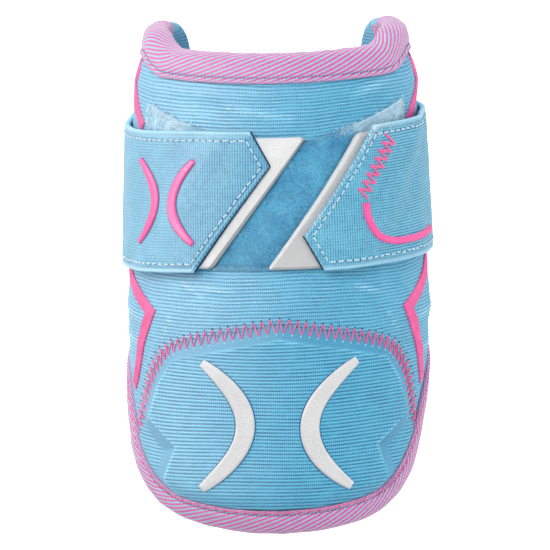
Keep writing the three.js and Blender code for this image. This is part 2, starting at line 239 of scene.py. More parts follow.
def catmull(points, count):
    """Even points on a centripetal curve through a row of points."""
    p = np.vstack((2 * points[0] - points[1], points, 2 * points[-1] - points[-2]))
    knots = distances(p, 0.5)
    out = []
    for i in range(1, len(p) - 2):
        t = np.linspace(knots[i], knots[i + 1], 40, endpoint=False)[:, None]
        k0, k1, k2, k3 = knots[i - 1:i + 3]
        a1 = lerp(p[i - 1], p[i], (t - k0) / (k1 - k0))
        a2 = lerp(p[i], p[i + 1], (t - k1) / (k2 - k1))
        a3 = lerp(p[i + 1], p[i + 2], (t - k2) / (k3 - k2))
        b1 = lerp(a1, a2, (t - k0) / (k2 - k0))
        b2 = lerp(a2, a3, (t - k1) / (k3 - k1))
        out.append(lerp(b1, b2, (t - k1) / (k2 - k1)))
    fine = np.vstack(out + [points[-1:]])
    run = distances(fine)
    return sampled(fine, run, np.linspace(0, run[-1], count))


def ripple(x, y, size, seed):
    """Soft unevenness between about -1 and 1, with humps of about the given size."""
    draw = np.random.default_rng(seed)
    total = 0
    for _ in range(7):
        turn, phase = draw.uniform(0, 2 * math.pi, 2)
        pace = math.pi / size * draw.uniform(0.6, 1.4)
        total = total + np.sin(pace * (x * math.cos(turn) + y * math.sin(turn)) + phase)
    return total / 3.5


# Creases and swells of the cloth: both ends as angle and height, half width and height
CREASES = np.array([
    (-40, 2.6, -31, -1.6, 1.3, 0.55),
    (-33, 1.4, -18, 0.4, 1.2, 0.45),
    (-45, -9.0, -50, -18.0, 1.0, 0.40),
    (-31, 1.0, -40, -6.0, 1.4, -0.35),
    (45, -8.5, 50, -16.0, 1.0, 0.40),
    (30, 1.5, 41, -2.0, 1.6, 0.45),
    (44, 1.2, 55, -4.0, 1.6, -0.35),
    (-42, 69.5, -18, 64.0, 2.6, -0.45),
    (-20, 66.5, 6, 62.5, 2.2, 0.35),
    (34, 70.0, 52, 73.5, 2.4, 0.35),
    (66, -14.0, 96, -12.0, 2.2, 0.50),
    (70, -20.5, 98, -18.0, 2.0, -0.40),
    (72, -27.0, 92, -25.5, 2.2, 0.45),
    (-66, -13.0, -96, -9.0, 2.2, 0.45),
    (-70, -22.0, -95, -20.0, 2.2, 0.40),
])


def creased(x, y, share=1.0):
    """Height of each crease at a place, with its width scaled by a share."""
    for a0, y0, a1, y1, width, high in CREASES:
        start = np.array((unrolled(a0), y0))
        way = np.array((unrolled(a1), y1)) - start
        t, away = off_segment(x, y, start, way)
        yield high * hump(away, width * share) * (0.35 + 0.65 * np.sin(math.pi * np.clip(t, 0.1, 0.9)))


def puff(angle, y):
    """How far the shell's cloth stands off the smooth skin."""
    x = unrolled(angle)
    return 0.13 * ripple(x, y, 13, 3) + 0.05 * ripple(x, y, 5, 4) + sum(creased(x, y))


def rib(y):
    return np.abs(np.sin(math.pi * y / RIB))


# Making of pieces
def new_object(name, data):
    made = bpy.data.objects.new(name, data)
    scene.collection.objects.link(made)
    return made


def piece(name, points, faces, material, node, uv, sharp=None, plain=None):
    """Welded, closed mesh piece from points in millimetres, riding on the guard."""
    mesh = bpy.data.meshes.new(name)
    mesh.vertices.add(len(points))
    placed = (np.asarray(points) - (0, CENTRE_Y, 0)) * MM
    mesh.vertices.foreach_set("co", placed.astype(np.float32).ravel())
    corners = np.concatenate([np.asarray(f).ravel() for f in faces]).astype(np.int32)
    sizes = np.concatenate([np.full(len(f), np.asarray(f).shape[1]) for f in faces])
    starts = np.concatenate(([0], np.cumsum(sizes)[:-1])).astype(np.int32)
    mesh.loops.add(len(corners))
    mesh.loops.foreach_set("vertex_index", corners)
    mesh.polygons.add(len(sizes))
    mesh.polygons.foreach_set("loop_start", starts)
    mesh.update(calc_edges=True)
    for key, values in (("weave", uv), ("plain", plain)):
        if values is not None:
            layer = mesh.uv_layers.new(name=key)
            layer.uv.foreach_set("vector", np.asarray(values, np.float32)[corners].ravel())
    work = bmesh.new()
    work.from_mesh(mesh)
    bmesh.ops.remove_doubles(work, verts=work.verts, dist=2e-6)
    bmesh.ops.dissolve_degenerate(work, edges=work.edges, dist=1e-6)
    open_edges = [e for e in work.edges if e.is_boundary]
    if open_edges:
        filled = bmesh.ops.holes_fill(work, edges=open_edges, sides=0)["faces"]
        bmesh.ops.triangulate(work, faces=filled)
    bmesh.ops.recalc_face_normals(work, faces=work.faces)
    work.to_mesh(mesh)
    work.free()
    mesh.shade_smooth()
    if sharp:
        mesh.set_sharp_from_angle(angle=math.radians(sharp))
    mesh.materials.append(material)
    made = new_object(name, mesh)
    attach(made, "root")
    if node:
        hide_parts(*node)
    return made


def grid_faces(columns, rows, start=0, turned=False):
    c, r = np.meshgrid(np.arange(columns - 1), np.arange(rows - 1), indexing="ij")
    a = (start + c * rows + r).ravel()
    quads = np.stack((a, a + rows, a + rows + 1, a + 1), -1)
    return quads[:, ::-1] if turned else quads


def pillow(name, outer, inner, material, node, uv, sharp=None):
    """Closed piece from two grids of points; where they meet at the border they are welded."""
    n, m = outer.shape[:2]
    points = np.vstack((outer.reshape(-1, 3), inner.reshape(-1, 3)))
    faces = [grid_faces(n, m), grid_faces(n, m, n * m, True)]
    flat = uv.reshape(-1, 2)
    return piece(name, points, faces, material, node, np.vstack((flat, flat)), sharp)


def loft(name, loops, material, node, uv, plain=None):
    """Closed piece through closed loops of equal length, with its ends filled."""
    n, m = loops.shape[:2]
    c, i = np.meshgrid(np.arange(n - 1), np.arange(m), indexing="ij")
    a = (c * m + i).ravel()
    b = (c * m + (i + 1) % m).ravel()
    faces = [np.stack((a, b, b + m, a + m), -1)]
    points = loops.reshape(-1, 3)
    return piece(name, points, faces, material, node, uv.reshape(-1, 2), plain=plain)


def threads(name, paths, radius, material, sides=6, ends=0.45):
    """Round threads along paths of equal length, as one piece."""
    n, p = paths.shape[:2]
    ahead = unit(np.gradient(paths, axis=1))
    out = paths - np.array((0, 0, AXIS_Z))
    out[..., 1] = 0
    side = unit(np.cross(ahead, unit(out) + np.array((0, 1e-3, 0))))
    up = np.cross(side, ahead)
    turn = np.arange(sides) * 2 * math.pi / sides
    full = np.ones(p)
    full[0] = full[-1] = ends
    wide = np.broadcast_to(np.asarray(radius, float).reshape(-1, 1), (n, p)) * full
    ring = np.cos(turn)[:, None] * side[:, :, None] + np.sin(turn)[:, None] * up[:, :, None]
    points = (paths[:, :, None] + wide[:, :, None, None] * ring).reshape(-1, 3)
    t, k, s = np.meshgrid(np.arange(n), np.arange(p - 1), np.arange(sides), indexing="ij")
    a = (t * p * sides + k * sides + s).ravel()
    b = (t * p * sides + k * sides + (s + 1) % sides).ravel()
    first = np.arange(n)[:, None] * p * sides + np.arange(sides)
    faces = [np.stack((a, b, b + sides, a + sides), -1), first[:, ::-1], first + (p - 1) * sides]
    run = np.concatenate((np.zeros((n, 1)), np.cumsum(np.linalg.norm(np.diff(paths, axis=1), axis=2), 1)), 1)
    uv = np.stack(np.broadcast_arrays(run[:, :, None], turn / (2 * math.pi)), -1).reshape(-1, 2)
    return piece(name, points, faces, material, (), uv)


# Node materials
class Shader:
    """Node tree of one material, with short calls for what the materials use."""

    def __init__(self, name, **values):
        self.material = bpy.data.materials.new(name)
        self.material.use_nodes = True
        self.tree = self.material.node_tree
        self.surface = self.tree.nodes["Principled BSDF"]
        for key, value in values.items():
            self.surface.inputs[key.replace("_", " ")].default_value = value

    def put(self, socket, value):
        if isinstance(value, bpy.types.NodeSocket):
            self.tree.links.new(value, socket)
        else:
            socket.default_value = value

    def math(self, operation, *values):
        node = self.tree.nodes.new("ShaderNodeMath")
        node.operation = operation
        for socket, value in zip(node.inputs, values):
            self.put(socket, value)
        return node.outputs[0]

    def times(self, a, b):
        return self.math("MULTIPLY", a, b)

    def rest(self, x):
        """What x leaves of 1."""
        return self.math("SUBTRACT", 1.0, x)

    def sum(self, *terms):
        """Sum of numbers and of (socket, factor) pairs."""
        total = sum(t for t in terms if not isinstance(t, tuple))
        for socket, factor in (t for t in terms if isinstance(t, tuple)):
            total = self.math("MULTIPLY_ADD", socket, factor, total)
        return total

    def weave(self, layer="weave"):
        node = self.tree.nodes.new("ShaderNodeUVMap")
        node.uv_map = layer
        split = self.tree.nodes.new("ShaderNodeSeparateXYZ")
        self.tree.links.new(node.outputs[0], split.inputs[0])
        return split.outputs[0], split.outputs[1]

    def wave(self, x, period, shift=0.0):
        turn = self.math("MULTIPLY_ADD", x, 2 * math.pi / period, shift)
        return self.math("MULTIPLY_ADD", self.math("COSINE", turn), 0.5, 0.5)

    def step(self, x, low, high):
        """Smooth rise from 0 at low to 1 at high."""
        node = self.tree.nodes.new("ShaderNodeMapRange")
        node.interpolation_type = "SMOOTHSTEP"
        self.put(node.inputs["Value"], x)
        self.put(node.inputs["From Min"], low)
        self.put(node.inputs["From Max"], high)
        return node.outputs["Result"]

    def line(self, x, at, half):
        """Line at a value of x that fades out over a half width."""
        away = self.math("ABSOLUTE", self.math("SUBTRACT", x, at))
        return self.rest(self.step(away, 0.0, half))

    def noise(self, size, detail=2.0, stretch=(1, 1, 1)):
        """Noise with features of a size in millimetres."""
        place = self.tree.nodes.new("ShaderNodeTexCoord")
        scale = self.tree.nodes.new("ShaderNodeMapping")
        scale.inputs["Scale"].default_value = tuple(1000 / size * s for s in stretch)
        self.tree.links.new(place.outputs["Object"], scale.inputs["Vector"])
        node = self.tree.nodes.new("ShaderNodeTexNoise")
        node.inputs["Scale"].default_value = 1
        node.inputs["Detail"].default_value = detail
        self.tree.links.new(scale.outputs[0], node.inputs["Vector"])
        return node.outputs["Fac"]

    def grain(self, size):
        """Pebbles of a size in millimetres: distance from the cell's middle."""
        place = self.tree.nodes.new("ShaderNodeTexCoord")
        node = self.tree.nodes.new("ShaderNodeTexVoronoi")
        node.feature = "SMOOTH_F1"
        node.inputs["Scale"].default_value = 1000 / size
        self.tree.links.new(place.outputs["Object"], node.inputs["Vector"])
        return node.outputs["Distance"]

    def mix(self, factor, a, b):
        node = self.tree.nodes.new("ShaderNodeMix")
        node.data_type = "RGBA"
        self.put(node.inputs[0], factor)
        self.put(node.inputs[6], a)
        self.put(node.inputs[7], b)
        return node.outputs[2]

    def paint(self, socket):
        self.tree.links.new(socket, self.surface.inputs["Base Color"])

    def rough(self, socket):
        self.tree.links.new(socket, self.surface.inputs["Roughness"])

    def bump(self, height, deep):
        """Relief of a depth in millimetres from a height between 0 and 1."""
        node = self.tree.nodes.new("ShaderNodeBump")
        node.inputs["Strength"].default_value = 1
        node.inputs["Distance"].default_value = deep * MM
        self.tree.links.new(height, node.inputs["Height"])
        self.tree.links.new(node.outputs[0], self.surface.inputs["Normal"])


def tint(red, green, blue):
    """Linear colour from the 0 to 255 values of a screen."""
    def linear(c):
        return ((c / 255 + 0.055) / 1.055) ** 2.4 if c > 10 else c / 3295

    return linear(red), linear(green), linear(blue), 1.0


def knit_material(name, light, dark, deep, glint):
    """Ribbed knit: grooves darkened by its own dark stitches and by painted shade, smooth where the plain
    layer says so, and painted highlights: lighter crease ridges and pale glints on its crests.
    """
    s = Shader(name, Roughness=0.7, Specular_IOR_Level=1.0, Sheen_Weight=0.15, Sheen_Roughness=0.4)
    u, v = s.weave()
    crest = s.wave(v, RIB, math.pi)
    row = s.math("FLOOR", s.math("DIVIDE", v, RIB))
    stitch = s.wave(s.math("MULTIPLY_ADD", row, 0.06, u), KNIT_STITCH)
    groove = s.math("POWER", s.rest(crest), 1.6)
    broad, fine = s.noise(11, 3), s.noise(0.55, 3, (1, 1.6, 1))
    uneven = s.noise(2.6, 2, (0.35, 1, 0.6))
    # Painted shade in the rib grooves, together with the knit's own dark stitch dots
    cut = s.times(groove, s.sum(-0.25, (uneven, 1.3), (stitch, 0.9)))
    shade = s.sum(0.01 + 0.36 * deep, (cut, -deep), (broad, 0.30), (fine, 0.95), (stitch, -0.10))
    height = s.sum(0.0, (stitch, 0.3), (fine, 0.7), (cut, -0.4))
    flat, crease = s.weave("plain")
    smooth = s.sum(0.17, (broad, 0.28), (fine, 0.28))
    shade = s.math("MULTIPLY_ADD", flat, s.math("SUBTRACT", smooth, shade), shade)
    # Painted highlight: lighter along the shell's crease crests and along the edge of the cap's flat
    shade = s.math("MULTIPLY_ADD", crease, 0.5, shade)
    height = s.times(height, s.sum(1.0, (flat, -0.75)))
    s.rough(s.sum(0.66, (cut, 0.12), (flat, 0.09)))
    # Painted highlights: pale glints on the rib crests, scattered and along the creases
    spark = s.times(s.step(uneven, 0.5, 0.72), 0.25 * glint)
    spark = s.math("MULTIPLY_ADD", crease, 3.0 * glint, spark)
    spark = s.times(spark, s.math("POWER", crest, 2.0))
    spark = s.times(spark, s.math("SUBTRACT", s.step(fine, 0.3, 0.6), flat))
    s.paint(s.mix(spark, s.mix(shade, dark, light), tint(206, 236, 248)))
    s.bump(height, 0.17)
    return s.material


def tape_material(name):
    """Twill tape with slanting pink and pale blue lines."""
    s = Shader(name, Roughness=0.7, Sheen_Weight=0.2, Sheen_Roughness=0.4)
    u, v = s.weave()
    notch = s.wave(u, TWILL["notch"])
    phase = s.math("DIVIDE", s.math("MULTIPLY_ADD", u, TWILL["slant"], v), TWILL["period"])
    phase = s.math("MULTIPLY_ADD", notch, 0.10, phase)
    across = s.wave(phase, 1.0)
    fine = s.noise(0.6, 3)
    edge = s.math("SMOOTH_MIN", s.math("MAXIMUM", s.sum(-2.3, (across, 5.6)), 0.0), 1.0, 0.1)
    pink = s.mix(fine, tint(204, 34, 112), tint(246, 104, 172))
    blue = s.mix(fine, tint(86, 152, 200), tint(192, 220, 240))
    s.paint(s.mix(edge, blue, pink))
    wale = s.wave(phase, 0.5)
    s.bump(s.sum(0.0, (wale, 0.6), (notch, 0.3), (fine, 0.4)), 0.14)
    return s.material


def elastic_material(name):
    """Woven elastic: columns near the ends, rows farther round, and a pale folded hem of pale fibres with a
    painted highlight on the rolled edge; painted shade darkens two fold lines, and painted light makes the
    right half lighter with darker rows.
    """
    s = Shader(name, Roughness=0.7, Specular_IOR_Level=0.8, Sheen_Weight=0.15, Sheen_Roughness=0.4)
    u, v = s.weave()
    away = s.step(s.math("ABSOLUTE", u), 28.0, 44.0)
    from_edge = s.math("MINIMUM", s.math("SUBTRACT", v, STRAP_LOW), s.math("SUBTRACT", STRAP_HIGH, v))
    wide, dash = ELASTIC_WEAVE["row"], ELASTIC_WEAVE["dash"]
    row = s.math("FLOOR", s.math("DIVIDE", v, wide))
    between_rows = s.math("POWER", s.rest(s.wave(v, wide, math.pi)), 1.5)
    between_columns = s.math("POWER", s.rest(s.wave(u, ELASTIC_WEAVE["column"])), 1.3)
    dashes = s.wave(s.math("MULTIPLY_ADD", row, dash / 2, u), dash)
    fine, broad, uneven = s.noise(0.55, 3), s.noise(9, 3), s.noise(2.4, 2)
    rows = s.times(between_rows, s.sum(0.05, (dashes, 0.45), (uneven, 0.6)))
    # Painted light: the right half lighter and its rows darker than the left's
    right = s.step(u, 0.0, 1.0)
    rows = s.times(rows, s.times(s.sum(0.2, (away, 0.85)), s.sum(1.0, (right, 1.3))))
    columns = s.times(between_columns, s.sum(1.0, (away, -0.85)))
    columns = s.times(columns, s.sum(0.05, (uneven, 1.0), (s.wave(v, dash), 0.35)))
    # Painted shade in two fold lines near each edge
    fold = s.sum(0.0, (s.line(from_edge, 1.45, 0.45), 1.2), (s.line(from_edge, 2.4, 0.35), 0.5))
    # Pale hem: pale fibres and a painted highlight on the rolled edge
    hem = s.rest(s.step(from_edge, 0.9, 2.6))
    shade = s.sum(0.17, (rows, -0.56), (columns, -0.75), (fine, 0.9), (broad, 0.3), (right, 0.2),
                  (fold, -0.5), (hem, 0.3))
    cloth = s.mix(shade, tint(0, 96, 143), tint(112, 194, 222))
    s.paint(s.mix(s.times(hem, 0.45), cloth, tint(178, 220, 238)))
    s.bump(s.sum(0.0, (rows, -0.6), (fine, 0.7), (columns, -0.7)), 0.14)
    return s.material


def plain_material(name, low, high, rough, grain_size, deep, rim=None, speck=0.45):
    """Smooth moulded or coated surface with a pebbled grain, and, where a rim tone is given, painted light
    along the bevelled edge: shade on the white tab, a highlight on the shaded one.
    """
    s = Shader(name, Specular_IOR_Level=0.4)
    grain, fine, broad = s.grain(grain_size), s.noise(speck, 3), s.noise(8, 2)
    colour = s.mix(s.sum(-0.2, (fine, 0.8), (broad, 0.5), (grain, 0.15)), low, high)
    if rim:
        # Painted light along the bevelled edge, from the rim tone
        from_edge, _ = s.weave()
        colour = s.mix(s.step(from_edge, 0.95, 1.2), rim, colour)
    s.paint(colour)
    s.rough(s.sum(rough - 0.1, (fine, 0.2)))
    s.bump(s.sum(0.0, (grain, -0.7), (fine, 0.5)), deep)
    return s.material


def thread_material(name, low, high):
    """Twisted sewing thread."""
    s = Shader(name, Roughness=0.55, Sheen_Weight=0.3)
    u, v = s.weave()
    ply = s.wave(s.math("MULTIPLY_ADD", u, 1.6, v), 1.0)
    fine = s.noise(0.3, 2)
    s.paint(s.mix(s.sum(-0.1, (ply, 0.6), (fine, 0.6)), low, high))
    s.bump(ply, 0.12)
    return s.material


def loop_material(name, low, high, pale=None):
    """Loop fastener's yarn, with paler upper corners where pale tones are given."""
    s = Shader(name, Roughness=0.85, Sheen_Weight=0.3, Sheen_Roughness=0.5)
    fine, broad = s.noise(0.8, 4), s.noise(9, 3)
    shade = s.mix(s.sum(-0.65, (fine, 1.1), (broad, 1.2)), low, high)
    if pale:
        u, v = s.weave()
        corner = s.times(s.step(s.math("ABSOLUTE", u), 24.0, 38.0), s.step(v, 54.0, 58.5))
        shade = s.mix(corner, shade, s.mix(s.sum(-0.2, (fine, 1.4)), pale[0], pale[1]))
    s.paint(shade)
    s.bump(fine, 0.2)
    return s.material


def lining_material(name):
    """Blue mesh cloth."""
    s = Shader(name, Roughness=0.9, Sheen_Weight=0.2)
    u, v = s.weave()
    mesh = s.times(s.wave(u, LINING_MESH), s.wave(v, LINING_MESH))
    fine = s.noise(0.7, 3)
    s.paint(s.mix(s.sum(0.0, (mesh, -0.45), (fine, 1.1)), tint(10, 74, 112), tint(84, 164, 204)))
    s.bump(s.sum(0.0, (mesh, -0.8), (fine, 0.4)), 0.25)
    return s.material


KNIT = knit_material("knit", tint(102, 193, 225), tint(0, 102, 151), 0.62, 1.0)
CAP_KNIT = knit_material("cap_knit", tint(88, 187, 221), tint(0, 97, 146), 0.94, 0.3)
TAPE_CLOTH = tape_material("edge_tape")
ELASTIC = elastic_material("elastic")
LOOP_BASE = loop_material("loop_ground", tint(0, 100, 150), tint(92, 182, 216),
                          (tint(190, 232, 250), tint(226, 246, 255)))
LOOP_PILE = loop_material("loop_pile", tint(50, 152, 200), tint(160, 220, 242))
LOOP_FRAY = loop_material("loop_fray", tint(186, 232, 252), tint(240, 251, 255))
LINING_CLOTH = lining_material("lining")
# White tab; its darker rim tone is painted shade on the bevel that faces away from the light
TAB_WHITE = plain_material("white_tab", tint(200, 200, 200), tint(240, 240, 240), 0.5, 0.9, 0.12,
                           tint(172, 172, 173))
# Shaded copy of the white tab for the right one: its face darker as painted shade, its lighter rim tone a
# painted highlight on the lit bevel
TAB_SHADED = plain_material("shaded_white_tab", tint(174, 174, 175), tint(206, 206, 206), 0.5, 0.9, 0.12,
                          tint(208, 208, 208))
RAISED_WHITE = plain_material("raised_white", tint(192, 192, 193), tint(232, 232, 232), 0.5, 0.9, 0.16)
RAISED_PINK = plain_material("raised_pink", tint(226, 68, 144), tint(252, 108, 174), 0.45, 0.7, 0.06)
FILM_PINK = plain_material("pink_film", tint(198, 16, 104), tint(255, 116, 182), 0.55, 0.5, 0.08, speck=0.9)
PINK_THREAD = thread_material("pink_thread", tint(222, 52, 128), tint(255, 128, 188))
PALE_THREAD = thread_material("pale_thread", tint(184, 222, 240), tint(246, 252, 255))
# Dark navy of the hook strip, which also stands in for the strap ends' shadow
HOOK_AND_SHADOW = plain_material("hook_strip_shadow", tint(4, 42, 76), tint(14, 74, 116), 0.8, 0.5, 0.08)
# Dark plugs in the needle holes: painted shade
HOLE = plain_material("needle_hole", tint(6, 40, 66), tint(16, 70, 104), 0.9, 0.5, 0.05)
# Dark navy that paints shade: an outline round the raised marks and the stitches in the tape's sewn groove
SHADE_LINE = plain_material("pressed_shade_line", tint(10, 84, 128), tint(34, 116, 160), 0.8, 0.5, 0.05)


# Shell: closed columns with ribs on the outside, thinning to a round back edge
def make_shell():
    half = WALL / 2
    columns, layers = 125, 36
    ends = np.radians([12, 26, 40, 54, 68, 80])
    end_angles = WRAP - (WRAP - SHELL_SIDE) * (1 - np.cos(ends))
    angles = np.concatenate((-end_angles, np.linspace(-SHELL_SIDE, SHELL_SIDE, columns), end_angles[::-1]))
    full = np.concatenate((np.sin(ends), np.ones(columns), np.sin(ends)[::-1]))
    rows = np.arange(-88, 90, RIB / 4)
    a = angles[:, None]
    thick = half * full[:, None]
    low = lower_edge(a) + thick
    high = upper_edge(a) - thick
    x = unrolled(a)
    warp = 0.7 * ripple(x, rows[None], 34, 8) + 0.25 * ripple(x, rows[None], 12, 9)
    y = np.clip(rows[None] + warp, low, high)
    slope = np.gradient(lower_edge(angles), unrolled(angles))[:, None]
    from_low = (y - lower_edge(a)) / np.sqrt(1 + slope * slope)
    from_high = upper_edge(a) - y
    shown = ease(from_low, 4, 7) * ease(from_high, 5, 9) * ease(full[:, None], 0.5, 1)
    pinch = -0.15 * hump(from_low - LEG["bottom"], 2.0) - 0.3 * hump(from_high - LEG["top"], 2.2)
    swell = 0.3 * hump(from_low - LEG["bottom"] - 4, 2.5) + 0.35 * hump(from_high - LEG["top"] - 4.5, 3)
    lift = -half + thick + shown * (RIB_HIGH * rib(rows[None]) - RIB_HIGH + puff(a, y)) + pinch + swell
    lift = np.where(full[:, None] < 1, -half + thick, lift)
    outer = skin(np.broadcast_to(a, y.shape), y, lift)

    def nose(at, out, turn):
        return skin(a, at + out * thick * np.sin(turn), -half + thick * np.cos(turn))

    turns = np.radians([22.5, 45, 67.5, 90, 112.5, 135, 157.5])[None]
    back = np.linspace(1, 0, layers)[None]
    inner_y = lerp(low, high, back)
    inner = skin(np.broadcast_to(a, inner_y.shape), inner_y, -half - thick)
    loops = np.concatenate((outer, nose(high, 1, turns), inner, nose(low, -1, turns[:, ::-1])), 1)
    flat_y = (np.broadcast_to(rows, y.shape), high + 0 * turns, inner_y, low + 0 * turns)
    flat_y = np.concatenate(flat_y, 1)
    uv = np.stack((np.broadcast_to(x, flat_y.shape), flat_y), -1)
    # Painted highlight: the plain layer's second channel lightens the knit on the crests of the creases
    crest = sum(np.maximum(rise, 0) for rise in creased(x, y, 0.6))
    layer = np.zeros(flat_y.shape + (2,))
    layer[:, :len(rows), 1] = 0.22 * np.clip(crest / 0.35, 0, 1) * shown
    return loft("shell_cover", loops, KNIT, ["shell"], uv, layer.reshape(-1, 2))


make_shell()


# Paths along the shell's edges, with the shell on their left
def lower_path():
    middle = np.linspace(-130.5, 130.5, 523)
    angles = np.concatenate((np.linspace(-WRAP, -131, 40), middle, np.linspace(131, WRAP, 40)))
    path = np.stack((angles, lower_edge(angles)), -1)
    return np.vstack(((-WRAP, 6.6), path, (WRAP, 6.6)))


def upper_path(side):
    angles = np.linspace(side, -side, 600)
    return np.stack((angles, upper_edge(angles)), -1)


def tape_section(leg):
    """Outline of the folded tape as depth from the edge and lift off the skin, with a sewn groove."""
    half = WALL / 2
    centre, high = 1.2, GAP + TAPE
    nose = np.radians(np.linspace(80, -80, 11))
    rounded = np.stack((centre - (centre + high) * np.cos(nose), -half + (half + high) * np.sin(nose)), -1)
    face = np.array([
        (leg, -0.3), (leg + 0.12, GAP + 0.4), (leg - 0.25, GAP + 0.95), (leg - 0.9, GAP + 1.02),
        (leg - 1.45, GAP + 0.8), (leg - 1.9, GAP + 0.5), (leg - 2.4, GAP + 0.85), (leg - 3.3, GAP + 1.15),
        (leg - 4.6, GAP + 1.32), (lerp(leg - 4.6, centre, 0.5), GAP + 1.34),
    ])
    inside = np.array([
        (lerp(centre, LEG["inside"], 0.5), -WALL - high), (LEG["inside"] - 0.4, -WALL - high + 0.05),
        (LEG["inside"], -WALL - high + 0.5), (LEG["inside"], -WALL - GAP),
    ])
    return np.vstack((face, rounded, inside))


def make_tape(name, path, leg, node):
    """Folded tape along an edge, with raised slanting wales."""
    half = WALL / 2
    line, run = spaced(path, 0.66)
    left = left_of(line)
    outline = tape_section(leg)
    length = np.linalg.norm(np.diff(outline, axis=0), axis=1).sum()
    section = catmull(outline, int(length / 0.27))
    step = np.gradient(section, axis=0)
    out = unit(np.stack((step[:, 1], -step[:, 0]), -1))
    out *= np.sign((out * (section - np.array((4, -half)))).sum())
    v = distances(section)
    slant = np.where(v < TAPE_LIP, TAPE_LIP - 1.8 * (TAPE_LIP - v), v)
    phase = (slant[None] + run[:, None] * TWILL["slant"]) / TWILL["period"]
    wale = TWILL["high"] * (np.abs(np.sin(2 * math.pi * phase)) - 0.7)
    wale = wale + 0.09 * ripple(run[:, None], v[None], 6, 21)
    wale = wale * ease(v, 0.3, 1.2) * (1 - ease(v, length - 3, length - 1))
    depth = section[None, :, 0] + wale * out[None, :, 0]
    lift = section[None, :, 1] + wale * out[None, :, 1]

    def place(depth, lift):
        radius = skin_radius(line[:, 1])[:, None]
        angle = line[:, :1] + np.degrees(left[:, :1] * depth / radius)
        return skin(angle, line[:, 1:] + left[:, 1:] * depth, lift)

    under = np.array([
        (LEG["inside"] - 0.2, -WALL - GAP + 0.02), (3, -WALL - GAP), (0.6, -5.6), (-0.2, -half), (0.6, -0.4),
        (2, GAP - 0.05), (leg - 1.2, GAP - 0.1), (leg - 0.3, -0.3),
    ])
    below = place(np.broadcast_to(under[None, :, 0], (len(line), len(under))), under[None, :, 1])
    loops = np.concatenate((place(depth, lift), below), 1)
    flat = np.concatenate((slant, np.linspace(v[-1], v[-1] + 5, len(under))))
    uv = np.stack(np.broadcast_arrays(run[:, None], flat[None]), -1)
    return loft(name, loops, TAPE_CLOTH, [node], uv)


make_tape("top_tape", upper_path(TAPE_END), LEG["top"], "binding_top")
make_tape("bottom_tape", lower_path(), LEG["bottom"], "binding_bottom")


# Elbow cap
def outside_flat(angle, y):
    """Distance outside the flat of the elbow cap, below zero inside it."""
    x = np.radians(angle) * CAP["radius"]
    right = np.stack((np.radians(CAP_FLAT[:, 0]) * CAP["radius"], CAP_FLAT[:, 1]), -1)
    outline = np.vstack((right, right[:0:-1] * (-1, 1)))
    nearest = np.full(x.shape, np.inf)
    inside = np.zeros(x.shape, bool)
    for a, b in zip(outline, np.roll(outline, -1, axis=0)):
        way = b - a
        nearest = np.minimum(nearest, off_segment(x, y, a, way)[1])
        if a[1] != b[1]:
            crosses = (a[1] > y) != (b[1] > y)
            inside ^= crosses & (x < a[0] + way[0] * (y - a[1]) / way[1])
    return np.where(inside, -nearest, nearest)


LOWER = lower_path()
CAP_LOW = moved(LOWER, left_of(LOWER), LEG["bottom"] + 0.4)


def cap_low(angle):
    keep = np.abs(CAP_LOW[:, 0]) < 90
    return np.interp(angle, CAP_LOW[keep, 0], CAP_LOW[keep, 1])


def cap_seam(angle):
    return follow(CAP_SEAM, 1, np.abs(angle))


def cap_lift(angle, y):
    """Height of the cap's face over the skin."""
    out = outside_flat(angle, y)
    from_low = y - cap_low(angle)
    from_seam = cap_seam(angle) - y
    bevel = 1 - np.clip(out / CAP["bevel"], 0, 1)
    hem = 0.35 + 0.65 * ease(from_low, -1, 5)
    crown = 0.25 * (1 - np.clip((angle / 50) ** 2 + ((y + 50) / 36) ** 2, 0, 1))
    ridge = 0.16 * hump(out, 0.4)
    lip = -0.35 * (1 - ease(from_seam, 0, 1.6))
    dip = -0.5 * (1 - ease(from_low, 0, 2.4))
    return GAP + CAP["edge"] + CAP["rise"] * bevel * hem + crown * bevel + ridge * hem + lip + dip


def make_cap():
    angles = np.linspace(-70.2, 70.2, 195)
    rows = np.arange(-81, -10.5, RIB / 4)
    a = angles[:, None]
    low, high = cap_low(a), np.maximum(cap_seam(a), cap_low(a))
    x = unrolled(a)
    warp = 0.35 * ripple(x, rows[None], 30, 18)
    y = np.clip(rows[None] + warp, low, high)
    wide = np.broadcast_to(a, y.shape)
    out = outside_flat(wide, y)
    plain = ease(out, -0.25, 0.3) * (1 - ease(out, CAP["bevel"] - 0.4, CAP["bevel"] + 0.4))
    lift = cap_lift(wide, y) + (1 - plain) * RIB_HIGH * (rib(rows[None]) - 1) + 0.05 * ripple(x, y, 7, 19)
    open_row = (high - low) > 0.05
    outer = skin(wide, y, np.where(open_row, lift, GAP + 0.3))
    inner_y = lerp(low, high, np.linspace(1, 0, 10)[None])
    inner = skin(np.broadcast_to(a, inner_y.shape), inner_y, GAP + 0.02)
    flat_y = np.concatenate((np.broadcast_to(rows, y.shape), inner_y), 1)
    uv = np.stack((np.broadcast_to(x, flat_y.shape), flat_y), -1)
    # Painted highlight: a light line along the edge of the cap's flat, in the plain layer's second channel
    crease = hump(out, 0.5) * (0.55 + 0.45 * ripple(x, y, 9, 20))
    under = np.stack((np.ones(inner.shape[:2]), np.zeros(inner.shape[:2])), -1)
    layer = np.concatenate((np.stack((plain, crease), -1), under), 1).reshape(-1, 2)
    loops = np.concatenate((outer, inner), 1)
    return loft("cap_cover", loops, CAP_KNIT, ["elbow_cap"], uv, layer)


make_cap()


